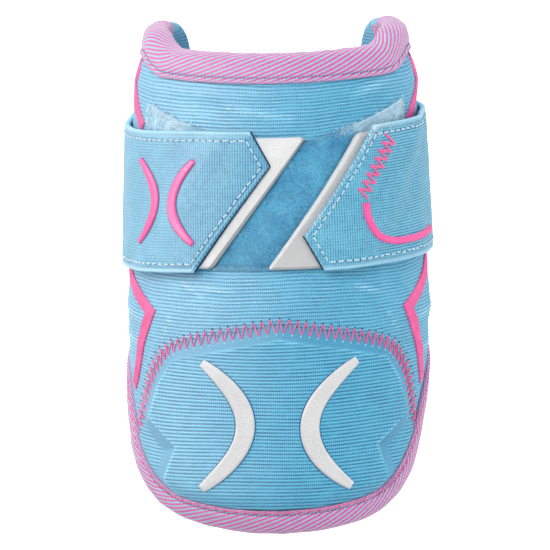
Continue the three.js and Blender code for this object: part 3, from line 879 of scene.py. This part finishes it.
# Lining
def make_lining():
    angles = np.linspace(-LINING_SIDE, LINING_SIDE, 101)
    low_path = moved(LOWER, left_of(LOWER), LINING_INSET)
    top = upper_path(SHELL_SIDE)
    high_path = moved(top, left_of(top), LINING_INSET)[::-1]
    low_path = low_path[np.argsort(low_path[:, 0], kind="stable")]
    low = np.interp(angles, low_path[:, 0], low_path[:, 1])[:, None]
    high = np.interp(angles, high_path[:, 0], high_path[:, 1])[:, None]
    t = np.linspace(0, 1, 72)[None]
    y = lerp(low, high, t)
    a = np.broadcast_to(angles[:, None], y.shape)
    x = np.radians(a) * LINING_UNROLL
    near = np.minimum(np.minimum(y - low, high - y), np.radians(LINING_SIDE - np.abs(a)) * LINING_UNROLL)
    edge = quarter(near, LINING_EDGE)
    middle = -WALL - LINING_GAP - LINING / 2
    uneven = -0.25 * ripple(x, y, 16, 31) * ease(near, 1, 6)
    inner = skin(a, y, middle - LINING / 2 * edge + uneven - 0.1 * ease(near, 1, 6))
    outer = skin(a, y, middle + LINING / 2 * edge)
    made = pillow("lining_cloth", outer, inner, LINING_CLOTH, ["lining"], np.stack((x, y), -1))
    tall = (high - low)[:, 0]
    area = float((np.diff(np.radians(angles) * LINING_RADIUS) * (tall[1:] + tall[:-1]) / 2).sum())
    return made, area * MM * MM


lining, lining_area = make_lining()


# Loop patch with its pile
def patch_high(angle):
    return lerp(PATCH_SHAPE["middle"], PATCH_SHAPE["corner"], np.abs(angle) / PATCH_SHAPE["side"])


def left_end(y):
    return np.interp(y, END[:, 0], END[:, 1])


def right_end(y):
    return 2 * MEET[0] - left_end(2 * MEET[1] - y)


def end_run(side, y):
    """Distance of a strap end round the guard from the front's middle."""
    return np.radians(np.where(side < 0, -left_end(y), right_end(y))) * RUN


def tab_edge(y):
    t = (y - TAB_EDGE["low"]) / (TAB_EDGE["high"] - TAB_EDGE["low"])
    return lerp(TAB_EDGE["low_angle"], TAB_EDGE["high_angle"], t)


def right_tab_edge(y):
    return 2 * TAB_MEET[0] - tab_edge(2 * TAB_MEET[1] - y)


def make_patch():
    angles = np.linspace(-PATCH_SHAPE["side"], PATCH_SHAPE["side"], 115)
    t = np.linspace(0, 1, 60)[None]
    a = angles[:, None]
    high = patch_high(a)
    y = lerp(PATCH_SHAPE["low"], high, t)
    wide = np.broadcast_to(a, y.shape)
    x = unrolled(wide)
    from_side = unrolled(PATCH_SHAPE["side"] - np.abs(wide))
    near = np.minimum(np.minimum(y - PATCH_SHAPE["low"], high - y), from_side)
    edge = np.clip(near / 2.2, 0, 1) ** 0.7
    lift = GAP + 0.62 * edge + 0.08 * ripple(x, y, 2.2, 41) * edge
    back = skin(wide, y, GAP * np.ones_like(y))
    uv = np.stack((x, y), -1)
    made = pillow("loop_cloth", skin(wide, y, lift), back, LOOP_BASE, ["loop_patch"], uv)
    side = float(unrolled(PATCH_SHAPE["side"]))
    tall = (PATCH_SHAPE["middle"] + PATCH_SHAPE["corner"]) / 2 - PATCH_SHAPE["low"]
    return made, 2 * side * tall * MM * MM


def make_pile():
    """Small bent loops of yarn where the patch shows."""
    draw = np.random.default_rng(51)
    count, foot_count = 15000, 700
    a = draw.uniform(-PATCH_SHAPE["side"], PATCH_SHAPE["side"], count)
    y = draw.uniform(PATCH_SHAPE["low"] + 0.4, PATCH_SHAPE["corner"] - 0.3, count)
    between = (a > tab_edge(y) - 2) & (a < right_tab_edge(y) + 2)
    keep = (y < patch_high(a) - 0.2) & (between | (y > STRAP_HIGH - 5))
    foot_ends = float(tab_edge(PATCH_SHAPE["low"])), float(right_tab_edge(PATCH_SHAPE["low"]))
    a = np.concatenate((a[keep], draw.uniform(*foot_ends, foot_count)))
    y = np.concatenate((y[keep], PATCH_SHAPE["low"] + draw.normal(0.2, 0.3, foot_count)))
    under = (a < tab_edge(y) + 1.2) | (a > right_tab_edge(y) - 1.2)
    n = len(a)
    turn = draw.uniform(0, math.pi, n)
    wide = draw.uniform(0.5, 1.4, n)
    high = draw.uniform(0.08, 0.34, n) * np.where(under & (y < STRAP_HIGH - 1), 0.7, 1)
    lean = draw.uniform(-0.45, 0.45, (2, n))
    t = np.linspace(-1, 1, 6)[None]
    arch = np.sqrt(np.clip(1.05 - t * t, 0, 1))
    dx = np.cos(turn)[:, None] * wide[:, None] * t * 0.6 + lean[0][:, None] * arch
    dy = np.sin(turn)[:, None] * wide[:, None] * t * 0.6 + lean[1][:, None] * arch
    lift = GAP + 0.5 + high[:, None] * arch
    paths = skin(a[:, None] + np.degrees(dx / UNROLL), y[:, None] + dy, lift)
    return threads("loop_pile", paths, draw.uniform(0.035, 0.06, n), LOOP_PILE, 3, 0.8)


def make_fray():
    """Pale loose fibres: thick at the upper corners, thin along the edges."""
    draw = np.random.default_rng(52)
    side = PATCH_SHAPE["side"]
    count, along_count, rim_count = 1500, 420, 240
    hand = draw.choice((-1, 1), count)
    a = hand * (side - 1 - 24 * draw.uniform(0, 1, count) ** 1.2)
    y = patch_high(a) - 0.5 - draw.uniform(0, 1, count) * (patch_high(a) - STRAP_HIGH + 3.5)
    along = draw.choice((-1, 1), along_count) * draw.uniform(24, side, along_count)
    top = patch_high(along) - 0.2 - np.abs(draw.normal(0, 0.8, along_count))
    rim = draw.choice((-1, 1), rim_count) * (side - np.abs(draw.normal(0, 0.7, rim_count)))
    rim_level = draw.uniform(STRAP_HIGH - 2, PATCH_SHAPE["corner"] - 0.4, rim_count)
    a = np.concatenate((a, along, rim))
    y = np.concatenate((y, top, rim_level))
    shown = (y > STRAP_HIGH - 3) | (a > tab_edge(y) + 1.5) & (a < right_tab_edge(y) - 1.5)
    a, y = a[shown], y[shown]
    n = len(a)
    turn = draw.uniform(0, 2 * math.pi, n)
    long = draw.uniform(0.8, 2.6, n)
    bend = draw.normal(0, 0.9, n)
    points = 7
    t = np.linspace(0, 1, points)[None]
    way = turn[:, None] + bend[:, None] * t
    dx = np.cumsum(np.cos(way), 1) * long[:, None] / points
    dy = np.cumsum(np.sin(way), 1) * long[:, None] / points
    lift = GAP + 0.55 + draw.uniform(0.1, 0.45, n)[:, None] * np.sin(math.pi * t) ** 0.7
    paths = skin(a[:, None] + np.degrees(dx / UNROLL), y[:, None] + dy, lift)
    return threads("loop_fray", paths, draw.uniform(0.035, 0.075, n), LOOP_FRAY, 3, 0.6)


patch, patch_area = make_patch()
pile = make_pile()
fray = make_fray()


# Strap: one band from its left end round the back to its right end
def strap_rest(angle, y):
    """Height of the strap's underside over the skin, raised where a tab lies under it."""
    def past(a, h):
        return np.radians(tab_edge(h) - a) * skin_radius(MEET[1])

    turned = past(2 * TAB_MEET[0] - angle, 2 * TAB_MEET[1] - y)
    near = np.where(angle < MEET[0], past(angle, y), turned)
    side = ease(np.abs(angle), SIDE_REST["from"], SIDE_REST["full"])
    over = STRAP_LIFT["over"] * (1 - ease(near, STRAP_LIFT["full"], STRAP_LIFT["none"]))
    return lerp(STRAP_REST, SIDE_REST["lift"], side) + over


def strap_sizes(y):
    base = skin_radius(y) + SIDE_REST["lift"]
    centre_z = STRAP + STRAP_TURN
    centre_x = np.sqrt((base - STRAP_TURN) ** 2 - (AXIS_Z - centre_z) ** 2)
    leave = np.arctan2(centre_x, centre_z - AXIS_Z)
    return centre_x, centre_z, leave


def strap_length(y):
    centre_x, _, leave = strap_sizes(y)
    return leave * RUN + (STRAP_TURN + STRAP / 2) * (math.pi - leave) + centre_x


def sway(angle):
    """How far the strap sits below its level: its left half slants down towards the side."""
    out = ease(-angle, SWAY["from"], SWAY["full"])
    return -SWAY["drop"] * out * (1 - ease(-angle, SWAY["back"], SWAY["none"]))


def strap_at(side, run, y, lift):
    """Point on the strap a distance round from the front's middle, lifted off its underside."""
    centre_x, centre_z, leave = strap_sizes(y)
    angle = np.minimum(run / RUN, leave)
    at = y + sway(side * np.degrees(angle))
    reach = skin_radius(at) + strap_rest(side * np.degrees(angle), y) + lift
    past = np.maximum(run - leave * RUN, 0)
    bend = STRAP_TURN + STRAP / 2
    turn = leave + np.minimum(past / bend, math.pi - leave)
    flat = np.maximum(past - bend * (math.pi - leave), 0)
    on_round = past <= 0
    x = np.where(on_round, reach * np.sin(angle), centre_x - flat + (STRAP_TURN + lift) * np.sin(turn))
    z = np.where(on_round, AXIS_Z + reach * np.cos(angle), centre_z + (STRAP_TURN + lift) * np.cos(turn))
    return np.stack((side * x, at + 0 * x, z), -1)


def strap_inside(side, run, y):
    """Distance from the strap's edges."""
    short = np.where(side < 0, y > LEFT_POINT, y < RIGHT_POINT)
    from_end = (run - end_run(side, y)) * np.where(short, SHORT_SLANT, LONG_SLANT)
    return np.minimum(np.minimum(y - STRAP_LOW, STRAP_HIGH - y), from_end)


def strap_relief(side, run, y):
    """Lift of the strap's face over its underside: a rolled edge, a fold line and a sewn groove."""
    d = strap_inside(side, run, y)
    edge = quarter(d, STRAP_EDGE)
    fold = -0.42 * hump(d - 1.45, 0.45)
    sewn = -0.16 * hump(d - np.where(run < 40, END_STITCH_IN, STITCH_IN), 0.55)
    swell = 0.12 * ease(d, 3.4, 8)
    wave = 0.09 * ripple(side * run, y, 7, 61) * ease(d, 0.5, 3)
    return STRAP / 2 + (STRAP / 2 - 0.1) * edge + fold + sewn + swell + wave


def make_strap():
    edge = np.array([0, 0.12, 0.35, 0.7, 1.05, 1.35, 1.65, 2.1, 2.6, 3.2, 3.8])
    inset, across, columns = 4.6, 52, 190
    middle = np.linspace(STRAP_LOW + inset, STRAP_HIGH - inset, across)
    rows = np.concatenate((STRAP_LOW + edge, middle, STRAP_HIGH - edge[::-1]))
    share = np.concatenate((edge / columns, np.linspace(inset / columns, 1, columns)))
    halves = []
    for side in (-1, 1):
        y = np.broadcast_to(rows[None], (len(share), len(rows)))
        run = lerp(end_run(side, y), strap_length(y), share[:, None])
        d = strap_inside(side, run, y)
        wall = quarter(d, STRAP_EDGE)
        outer = strap_at(side, run, y, strap_relief(side, run, y))
        inner = strap_at(side, run, y, STRAP / 2 - (STRAP / 2 - 0.02) * wall)
        halves.append((outer, inner, np.stack((side * run, y), -1)))
    join = [np.concatenate((left, right[::-1][1:])) for left, right in zip(*halves)]
    return pillow("strap_band", join[0], join[1], ELASTIC, ["strap"], join[2])


make_strap()


def make_hook_shadow(name, side, low, high):
    """Dark hook strip sewn under a strap end, showing a thin edge past it that also paints the shadow of the
    strap's edge on the tab.
    """
    rows = np.linspace(low, high, 70)
    past = np.concatenate((np.linspace(-0.45, 0.6, 8), np.linspace(1.5, 12, 8)))
    y = np.broadcast_to(rows[None], (len(past), len(rows)))
    run = end_run(side, y) + past[:, None]
    return pillow(name, strap_at(side, run, y, 0.62), strap_at(side, run, y, 0.12), HOOK_AND_SHADOW,
                  (), np.stack((side * run, y), -1))


# Only along edges facing away from the light: all of the left end, the right end's lower short edge
make_hook_shadow("left_hook_shadow", -1, STRAP_LOW + 0.1, STRAP_HIGH - 0.1)
make_hook_shadow("right_hook_shadow", 1, STRAP_LOW + 0.1, RIGHT_POINT)


# Pull tabs
def make_tab(name, turned, node, material):
    """Flat tab with a bevelled rim; the right one is the left one turned half round."""
    edge = np.array([0, 0.04, 0.35, 0.7, 1.05, 1.3, 1.6, 2.1, 2.8])
    inset = 3.6
    across = np.concatenate((np.linspace(TAB_SHAPE["reach"], inset, 22), edge[::-1]))
    middle = np.linspace(TAB_EDGE["low"] + inset, TAB_EDGE["high"] - inset, 48)
    rows = np.concatenate((TAB_EDGE["low"] + edge, middle, TAB_EDGE["high"] - edge[::-1]))
    inward, y = np.meshgrid(across, rows, indexing="ij")
    from_end = np.minimum(y - TAB_EDGE["low"], TAB_EDGE["high"] - y)
    corner = np.maximum(0, TAB_SHAPE["round"] - from_end)
    cut = TAB_SHAPE["round"] - np.sqrt(np.maximum(TAB_SHAPE["round"] ** 2 - corner ** 2, 0))
    back = inward + cut * (1 - inward / TAB_SHAPE["reach"])
    angle = tab_edge(y) - np.degrees(back / skin_radius(MEET[1]))
    d = np.minimum(np.minimum(inward * TAB_SLANT, from_end), TAB_SHAPE["reach"] - inward)
    profile = np.where(d <= 0, 0, 0.42 + 0.58 * np.clip((d - 0.03) / TAB_SHAPE["bevel"], 0, 1))
    lift = STRAP_REST + TAB * profile
    if turned:
        angle, y = 2 * TAB_MEET[0] - angle, 2 * TAB_MEET[1] - y
    under = np.full(y.shape, STRAP_REST)
    return pillow(name, skin(angle, y, lift), skin(angle, y, under), material, [node],
                  np.stack((inward, from_end), -1), 20)


make_tab("left_tab", False, "tab_left", TAB_WHITE)
make_tab("right_tab", True, "tab_right", TAB_SHADED)


# Flat and raised bands along a path
def band_grid(path, width, rim):
    """Angles, heights and distances from the rim of a band along a smooth path."""
    line, run = spaced(path, 0.5)
    run = np.unique(np.concatenate((rim, run[run > rim[-1] + 0.2], run[-1] - rim)))
    line = sampled(line, np.linspace(0, run[-1], len(line)), run)
    left = left_of(line)
    half = width(run / run[-1]) / 2
    share = np.concatenate((-1 + rim / half.max(), np.linspace(-0.3, 0.3, 5), 1 - rim[::-1] / half.max()))
    off = half[:, None] * np.unique(np.clip(share, -1, 1))[None]
    angle = line[:, :1] + np.degrees(left[:, :1] * off / skin_radius(line[:, 1:]))
    away = np.minimum(half[:, None] - np.abs(off), np.minimum(run, run[-1] - run)[:, None])
    return angle, line[:, 1:] + left[:, 1:] * off, away


def mitred_grid(rows, width, rim):
    """The same for a band of one width along straight legs with sharp corners."""
    flat = flat_of(rows)
    way = unit(np.diff(flat, axis=0))
    normal = np.stack((-way[:, 1], way[:, 0]), -1)
    turn = unit(np.vstack((normal[:1], normal[:-1] + normal[1:], normal[-1:])))
    turn /= (turn * np.vstack((normal[:1], normal))).sum(1, keepdims=True)
    half = width / 2
    share = np.unique(np.concatenate((-1 + rim / half, np.linspace(-0.4, 0.4, 7), 1 - rim[::-1] / half)))
    run = distances(flat)
    inner = np.arange(rim[-1] + 0.4, run[-1] - rim[-1] - 0.2, 0.5)
    at = np.unique(np.concatenate((rim, inner, run, run[-1] - rim)))
    cross = sampled(turn, run, at)
    spot = sampled(flat, run, at)[:, None] + cross[:, None] * (half * share)[None, :, None]
    y = spot[..., 1]
    away = np.minimum(half * (1 - np.abs(share))[None], np.minimum(at, run[-1] - at)[:, None])
    return np.degrees(spot[..., 0] / skin_radius(y)), y, away


def make_band(name, grid, under, thick, bevel, wall, material, node):
    """Band with a bevelled rim: under gives the height of its underside over the skin."""
    angle, y, away = grid
    profile = np.where(away <= 1e-6, 0, wall + (1 - wall) * np.sin(np.clip(away / bevel, 0, 1) * math.pi / 2))
    base = under(angle, y)
    uv = np.stack((unrolled(angle), y), -1)
    return pillow(name, skin(angle, y, base + thick * profile), skin(angle, y, base), material,
                  [node] if node else (), uv, 32)


def rim_steps(bevel):
    return np.array([0, 0.04, 0.25, 0.5, 0.75, 1.0, 1.4]) * bevel


def on_shell(angle, y):
    return puff(angle, y) * 0.9 + 0.02


def on_strap(angle, y):
    run = np.radians(np.abs(angle)) * RUN
    level = y - sway(angle)
    return strap_rest(angle, level) + strap_relief(np.sign(angle), run, level) - 0.03


def on_cap(angle, y):
    return cap_lift(angle, y) - 0.05


def mirrored(path):
    return (path * (-1, 1))[::-1]


for word, rows in (("upper", UPPER_STRIPE), ("lower", LOWER_STRIPE)):
    for hand, line in (("left", mirrored(rows)), ("right", rows)):
        grid = mitred_grid(line, STRIPE_WIDTH, rim_steps(FILM_BEVEL))
        make_band(f"{word}_{hand}_stripe", grid, on_shell, FILM, FILM_BEVEL, 0.6, FILM_PINK,
                  f"stripe_{word}_{hand}")


def mark_path(mark, side, drop):
    """Bowed path of one half of a mark, nearest to the other half at its middle."""
    t = np.linspace(-1, 1, 60)
    angle = mark["angle"] + side * np.degrees(lerp(mark["near"], mark["far"], t * t) / mark["radius"])
    return np.stack((angle, mark["y"] + t * mark["high"] / 2 + drop(angle)), -1)


def tapered(width):
    """Width along a mark, which narrows to its ends."""
    return lambda t: width * np.sqrt(1 - 0.8 * (2 * t - 1) ** 2)


for hand, side in (("left", -1), ("right", 1)):
    for word, mark, drop, under, material, slot in (
        ("cap", CAP_MARK, np.zeros_like, on_cap, RAISED_WHITE, "raised_white"),
        ("strap", STRAP_MARK, sway, on_strap, RAISED_PINK, "raised_pink"),
    ):
        grid = band_grid(mark_path(mark, side, drop), tapered(mark["width"]), rim_steps(MARK_BEVEL))
        make_band(f"{word}_{hand}_mark", grid, under, RAISED, MARK_BEVEL, 0.35, material,
                  f"{word}_mark_{hand}")
        # Low rim round each mark, dark as the painted shadow at the mark's edge
        rim = band_grid(mark_path(mark, side, drop), tapered(mark["width"] + 0.8), rim_steps(PRESS_BEVEL))
        make_band(f"{word}_{hand}_press_shadow", rim, under, 0.13, PRESS_BEVEL, 0.5, SHADE_LINE, None)
curve = band_grid(catmull(STRAP_LINE, 120), lambda t: STRAP_LINE_WIDTH + 0 * t, rim_steps(LINE_BEVEL))
make_band("strap_curve", curve, on_strap, RAISED, LINE_BEVEL, 0.4, RAISED_PINK, "strap_line")


# Sewing
def stitches(line, under, pitch, share, rise, points=7):
    """Paths of separate stitches along a line: each bows up and its ends dip into the cloth."""
    path, run = spaced(line, pitch / 12)
    starts = np.arange(pitch * 0.3, run[-1] - pitch, pitch)
    at = starts[:, None] + np.linspace(0, pitch * share, points)[None]
    angle, y = (np.interp(at, run, path[:, k]) for k in (0, 1))
    bow = np.sin(np.linspace(0, math.pi, points))[None]
    return skin(angle, y, under(angle, y) + rise * (bow ** 0.6) - rise * 0.45)


def zigzag(line, pitch, high, under, rise, points=9):
    """Paths of the legs of a zigzag seam along a line, each from needle hole to needle hole."""
    path, _ = spaced(line, pitch / 2)
    left = left_of(path)
    wide = 1 + 0.8 * ease(np.abs(path[:, 0]), 40, 60)
    swing = np.where(np.arange(len(path)) % 2, 1, -1) * wide * high / 2
    tips = moved(path, left, swing)
    t = np.linspace(0, 1, points)[None]
    angle = lerp(tips[:-1, :1], tips[1:, :1], t)
    y = lerp(tips[:-1, 1:], tips[1:, 1:], t)
    bow = np.sin(np.linspace(0, math.pi, points))[None] ** 0.5
    return skin(angle, y, under(angle, y) + rise * bow - rise * 0.3), tips


def on_seam(angle, y):
    """Height of the cap where it lies, and of the shell above it."""
    past = y - cap_seam(angle)
    return lerp(cap_lift(angle, np.minimum(y, cap_seam(angle) - 0.3)), puff(angle, y), ease(past, -0.6, 1.6))


seam_angles = np.linspace(-69.5, 69.5, 300)
seam_line = np.stack((seam_angles, cap_seam(seam_angles)), -1)
legs, tips = zigzag(seam_line, 3.1, 5.0, on_seam, 0.45)
threads("cap_seam", legs, 0.24, PINK_THREAD)


def make_holes(name, spots, radius, under, material=HOLE):
    """Short sunken plugs where the needle went in: dark ones paint the shade in the hole, pale ones paint
    highlights at it.
    """
    dy = np.linspace(-0.3, 0.3, 4)[None]
    angle, y = np.broadcast_arrays(spots[:, :1], spots[:, 1:] + dy)
    return threads(name, skin(angle, y, under(angle, y) - 0.05), radius, material, 6, 0.4)


make_holes("seam_holes", tips[1::2] + np.array((0, 0.12)), 0.3, on_seam)
# Painted highlights: pale dots at the seam's lower needle points
lower_tips = tips[2::2][np.abs(tips[2::2, 0]) < 50]
make_holes("seam_highlight_dots", lower_tips - np.array((0, 0.32)), 0.21, on_seam, PALE_THREAD)


def strap_stitches():
    """Uneven stitches along the strap's edges and beside its pointed ends, and their needle holes."""
    draw = np.random.default_rng(71)
    pitch, share, rise, points = 2.9, 0.8, 0.36, 7
    bow = np.sin(np.linspace(0, math.pi, points))[None] ** 0.6
    found, holes = [], []

    def sew(side, run, y):
        y = y + draw.normal(0, 0.09, len(y))[:, None]
        y = y + draw.normal(0, 0.16, len(y))[:, None] * np.linspace(-1, 1, points)
        found.append(strap_at(side, run, y, strap_relief(side, run, y) + rise * bow - rise * 0.4))
        gap = np.linspace(0.05, 0.75, 4)[None] * pitch * (1 - share)
        ahead = (run[:, -1:] - run[:, :1]) / (pitch * share)
        rise_y = (y[:, -1:] - y[:, :1]) / (pitch * share)
        spot_run, spot_y = run[:, -1:] + ahead * gap, y[:, -1:] + rise_y * gap
        holes.append(strap_at(side, spot_run, spot_y, strap_relief(side, spot_run, spot_y) + 0.04))

    for side in (-1, 1):
        ends = END if side < 0 else np.stack((2 * MEET[1] - END[::-1, 0], 2 * MEET[0] - END[::-1, 1]), -1)
        corner = ends[1, 0]
        inset = END_STITCH_IN / 0.85
        low, high = STRAP_LOW + STITCH_IN, STRAP_HIGH - STITCH_IN

        def ends_at(y):
            return end_run(side, y) + inset

        for y0, y1 in ((low, corner), (corner, high)):
            long = math.hypot(y1 - y0, float(ends_at(y1) - ends_at(y0)))
            count = round(long / pitch)
            starts = (np.arange(count) + 0.1) / count
            y = lerp(y0, y1, starts[:, None] + np.linspace(0, share, points)[None] / count)
            sew(side, lerp(ends_at(y0), ends_at(y1), (y - y0) / (y1 - y0)), y)
        for row in (low, high):
            starts = np.arange(float(ends_at(row)) + 0.4, float(strap_length(row)) - pitch, pitch)
            run = starts[:, None] + np.linspace(0, pitch * share, points)[None]
            sew(side, run, np.full(run.shape, row))
    return np.concatenate(found), np.concatenate(holes)


sewn, pierced = strap_stitches()
threads("strap_stitching", sewn, 0.24, PALE_THREAD)
# Needle holes as dark plugs: painted shade in the holes
threads("strap_holes", pierced, 0.27, HOLE, 6, 0.5)
tack_line = np.array([(31.5, 34.2), (45.9, 53.7)])
tack_legs, _ = zigzag(tack_line, 3.1, 5.2, on_strap, 0.5)
threads("strap_tack", tack_legs, 0.48, PINK_THREAD, 8, 0.8)


def tape_stitches(name, path, inset, pitch, radius, high, material):
    """Row of stitches an inset from a taped edge."""
    step, share, rise = 0.62, 0.62, 0.3
    line, _ = spaced(path, step)
    row = moved(line, left_of(line), inset)
    paths = stitches(row, lambda a, y: GAP + high + 0 * a, pitch, share, rise)
    return threads(name, paths, radius, material)


LOWER_SEWN = LOWER[2:-2]
# Dark stitches in the sewn groove: painted shade in the groove
tape_stitches("top_tape_stitching", upper_path(TAPE_END - 1), LEG["top"] - 1.9, 1.5, 0.15, 0.5, SHADE_LINE)
tape_stitches("bottom_tape_stitching", LOWER_SEWN, LEG["bottom"] - 1.9, 1.5, 0.15, 0.5, SHADE_LINE)
tape_stitches("bottom_tape_edge", LOWER_SEWN, LEG["bottom"] - 0.75, 1.75, 0.3, 0.98, PINK_THREAD)


def horn_tack():
    """Bar of thread inside the right end of the upper edge."""
    angle = TAPE_END + 6
    top = float(upper_edge(angle))
    line = np.array([(angle, top - 2.6), (angle + 1.5, top - 7.4)])
    legs, _ = zigzag(line, 1.5, 3.4, lambda a, y: -WALL - 0.1 + 0 * a, -0.4)
    return threads("horn_tack", legs, 0.3, PINK_THREAD)


horn_tack()


def strap_fray():
    """Loose pale fibres along the right strap end's long slanting edge and its upper corner."""
    draw = np.random.default_rng(73)
    slanting, upper, points = 110, 40, 7
    count = slanting + upper
    slant_y = STRAP_HIGH - 0.3 - 34 * draw.uniform(0, 1, slanting) ** 1.7
    y = np.concatenate((slant_y, STRAP_HIGH - np.abs(draw.normal(0, 1.6, upper))))
    end = end_run(1, y)
    run = end + 0.1 + np.abs(draw.normal(0, 1.1, count))
    run[slanting:] = end[slanting:] + draw.uniform(0.2, 9, upper)
    way = draw.normal(1.12, 0.45, count)[:, None]
    way = way + draw.normal(0, 0.8, count)[:, None] * np.linspace(0, 1, points)[None]
    long = draw.uniform(0.7, 2.4, count)[:, None] * np.linspace(-0.5, 0.5, points)[None]
    at_run = run[:, None] + np.cos(way) * long
    at_y = np.clip(y[:, None] + np.sin(way) * long, STRAP_LOW + 0.1, STRAP_HIGH - 0.1)
    lift = strap_relief(1, at_run, at_y) + 0.06 + draw.uniform(0, 0.25, count)[:, None] * np.cos(long)
    paths = strap_at(1, at_run, at_y, lift)
    return threads("strap_fray", paths, draw.uniform(0.05, 0.1, count), LOOP_FRAY, 4)


strap_fray()


# Floor, light and camera
LIGHT_TARGET = (0, 0, 0.05)


def make_floor():
    side, level = 3.0, -2e-4
    corners = [(x * side, y * side, level) for x, y in ((-1, -1), (1, -1), (1, 1), (-1, 1))]
    mesh = bpy.data.meshes.new("floor")
    mesh.from_pydata(corners, [], [(0, 1, 2, 3)])
    made = new_object("floor", mesh)
    s = Shader("floor", Roughness=0.9, Emission_Strength=1.0)
    s.surface.inputs["Base Color"].default_value = (0.93, 0.93, 0.93, 1)
    s.surface.inputs["Emission Color"].default_value = (1, 1, 1, 1)
    mesh.materials.append(s.material)
    made.visible_glossy = False


def aim(made, place, across, up, back):
    """Place a light or a camera by the three directions of its own frame."""
    turn = Matrix(np.stack((across, up, back), -1).tolist()).to_4x4()
    made.matrix_world = Matrix.Translation(place) @ turn


def make_light(name, place, size, power, diffuse=True, gloss=True):
    """Round soft light aimed at the guard, seen by matt surfaces, glossy ones or both."""
    data = bpy.data.lights.new(name, "AREA")
    data.shape = "DISK"
    data.size = size
    data.energy = power
    made = new_object(name, data)
    made.visible_diffuse = diffuse
    made.visible_glossy = gloss
    way = np.array(place) - np.array(LIGHT_TARGET)
    across = unit(np.cross((0.02, 1, 0.01), way))
    aim(made, place, across, unit(np.cross(way, across)), unit(way))


def make_camera():
    tip, roll = math.radians(8.5), math.radians(1.2)
    right = np.array((1, 0, 0))
    up = np.array((0, math.cos(tip), -math.sin(tip)))
    back = np.array((0, math.sin(tip), math.cos(tip)))
    across = math.cos(roll) * right - math.sin(roll) * up
    over = math.sin(roll) * right + math.cos(roll) * up
    shift, away, lens = -1.26, 8250, 1500
    target = np.array((0, -CENTRE_Y, AXIS_Z)) + shift * (across + over)
    data = bpy.data.cameras.new("camera")
    data.lens = lens
    data.sensor_width = 36
    data.clip_start = 0.05
    scene.camera = new_object("camera", data)
    aim(scene.camera, (target + back * away) * MM, across, over, back)


def make_world():
    """White surroundings that fade from the left to the right."""
    world = bpy.data.worlds.new("studio")
    world.use_nodes = True
    tree = world.node_tree
    place = tree.nodes.new("ShaderNodeTexCoord")
    axes = tree.nodes.new("ShaderNodeSeparateXYZ")
    fade = tree.nodes.new("ShaderNodeMapRange")
    for socket, value in (("From Min", -1.0), ("From Max", 1.0), ("To Min", 0.6), ("To Max", 0.36)):
        fade.inputs[socket].default_value = value
    colour, strength = tree.nodes["Background"].inputs[:2]
    colour.default_value = (1, 1, 1, 1)
    tree.links.new(place.outputs["Generated"], axes.inputs[0])
    tree.links.new(axes.outputs["X"], fade.inputs["Value"])
    tree.links.new(fade.outputs["Result"], strength)
    scene.world = world


make_floor()
make_light("key", (-0.25, 0.45, 0.9), 0.45, 5.2)
make_light("fill", (0.75, -0.1, 0.6), 0.7, 3.0, gloss=False)
make_light("sheen", (-0.95, 0.35, 0.42), 0.8, 34.0, diffuse=False)
make_camera()
make_world()
scene.view_settings.view_transform = "Standard"
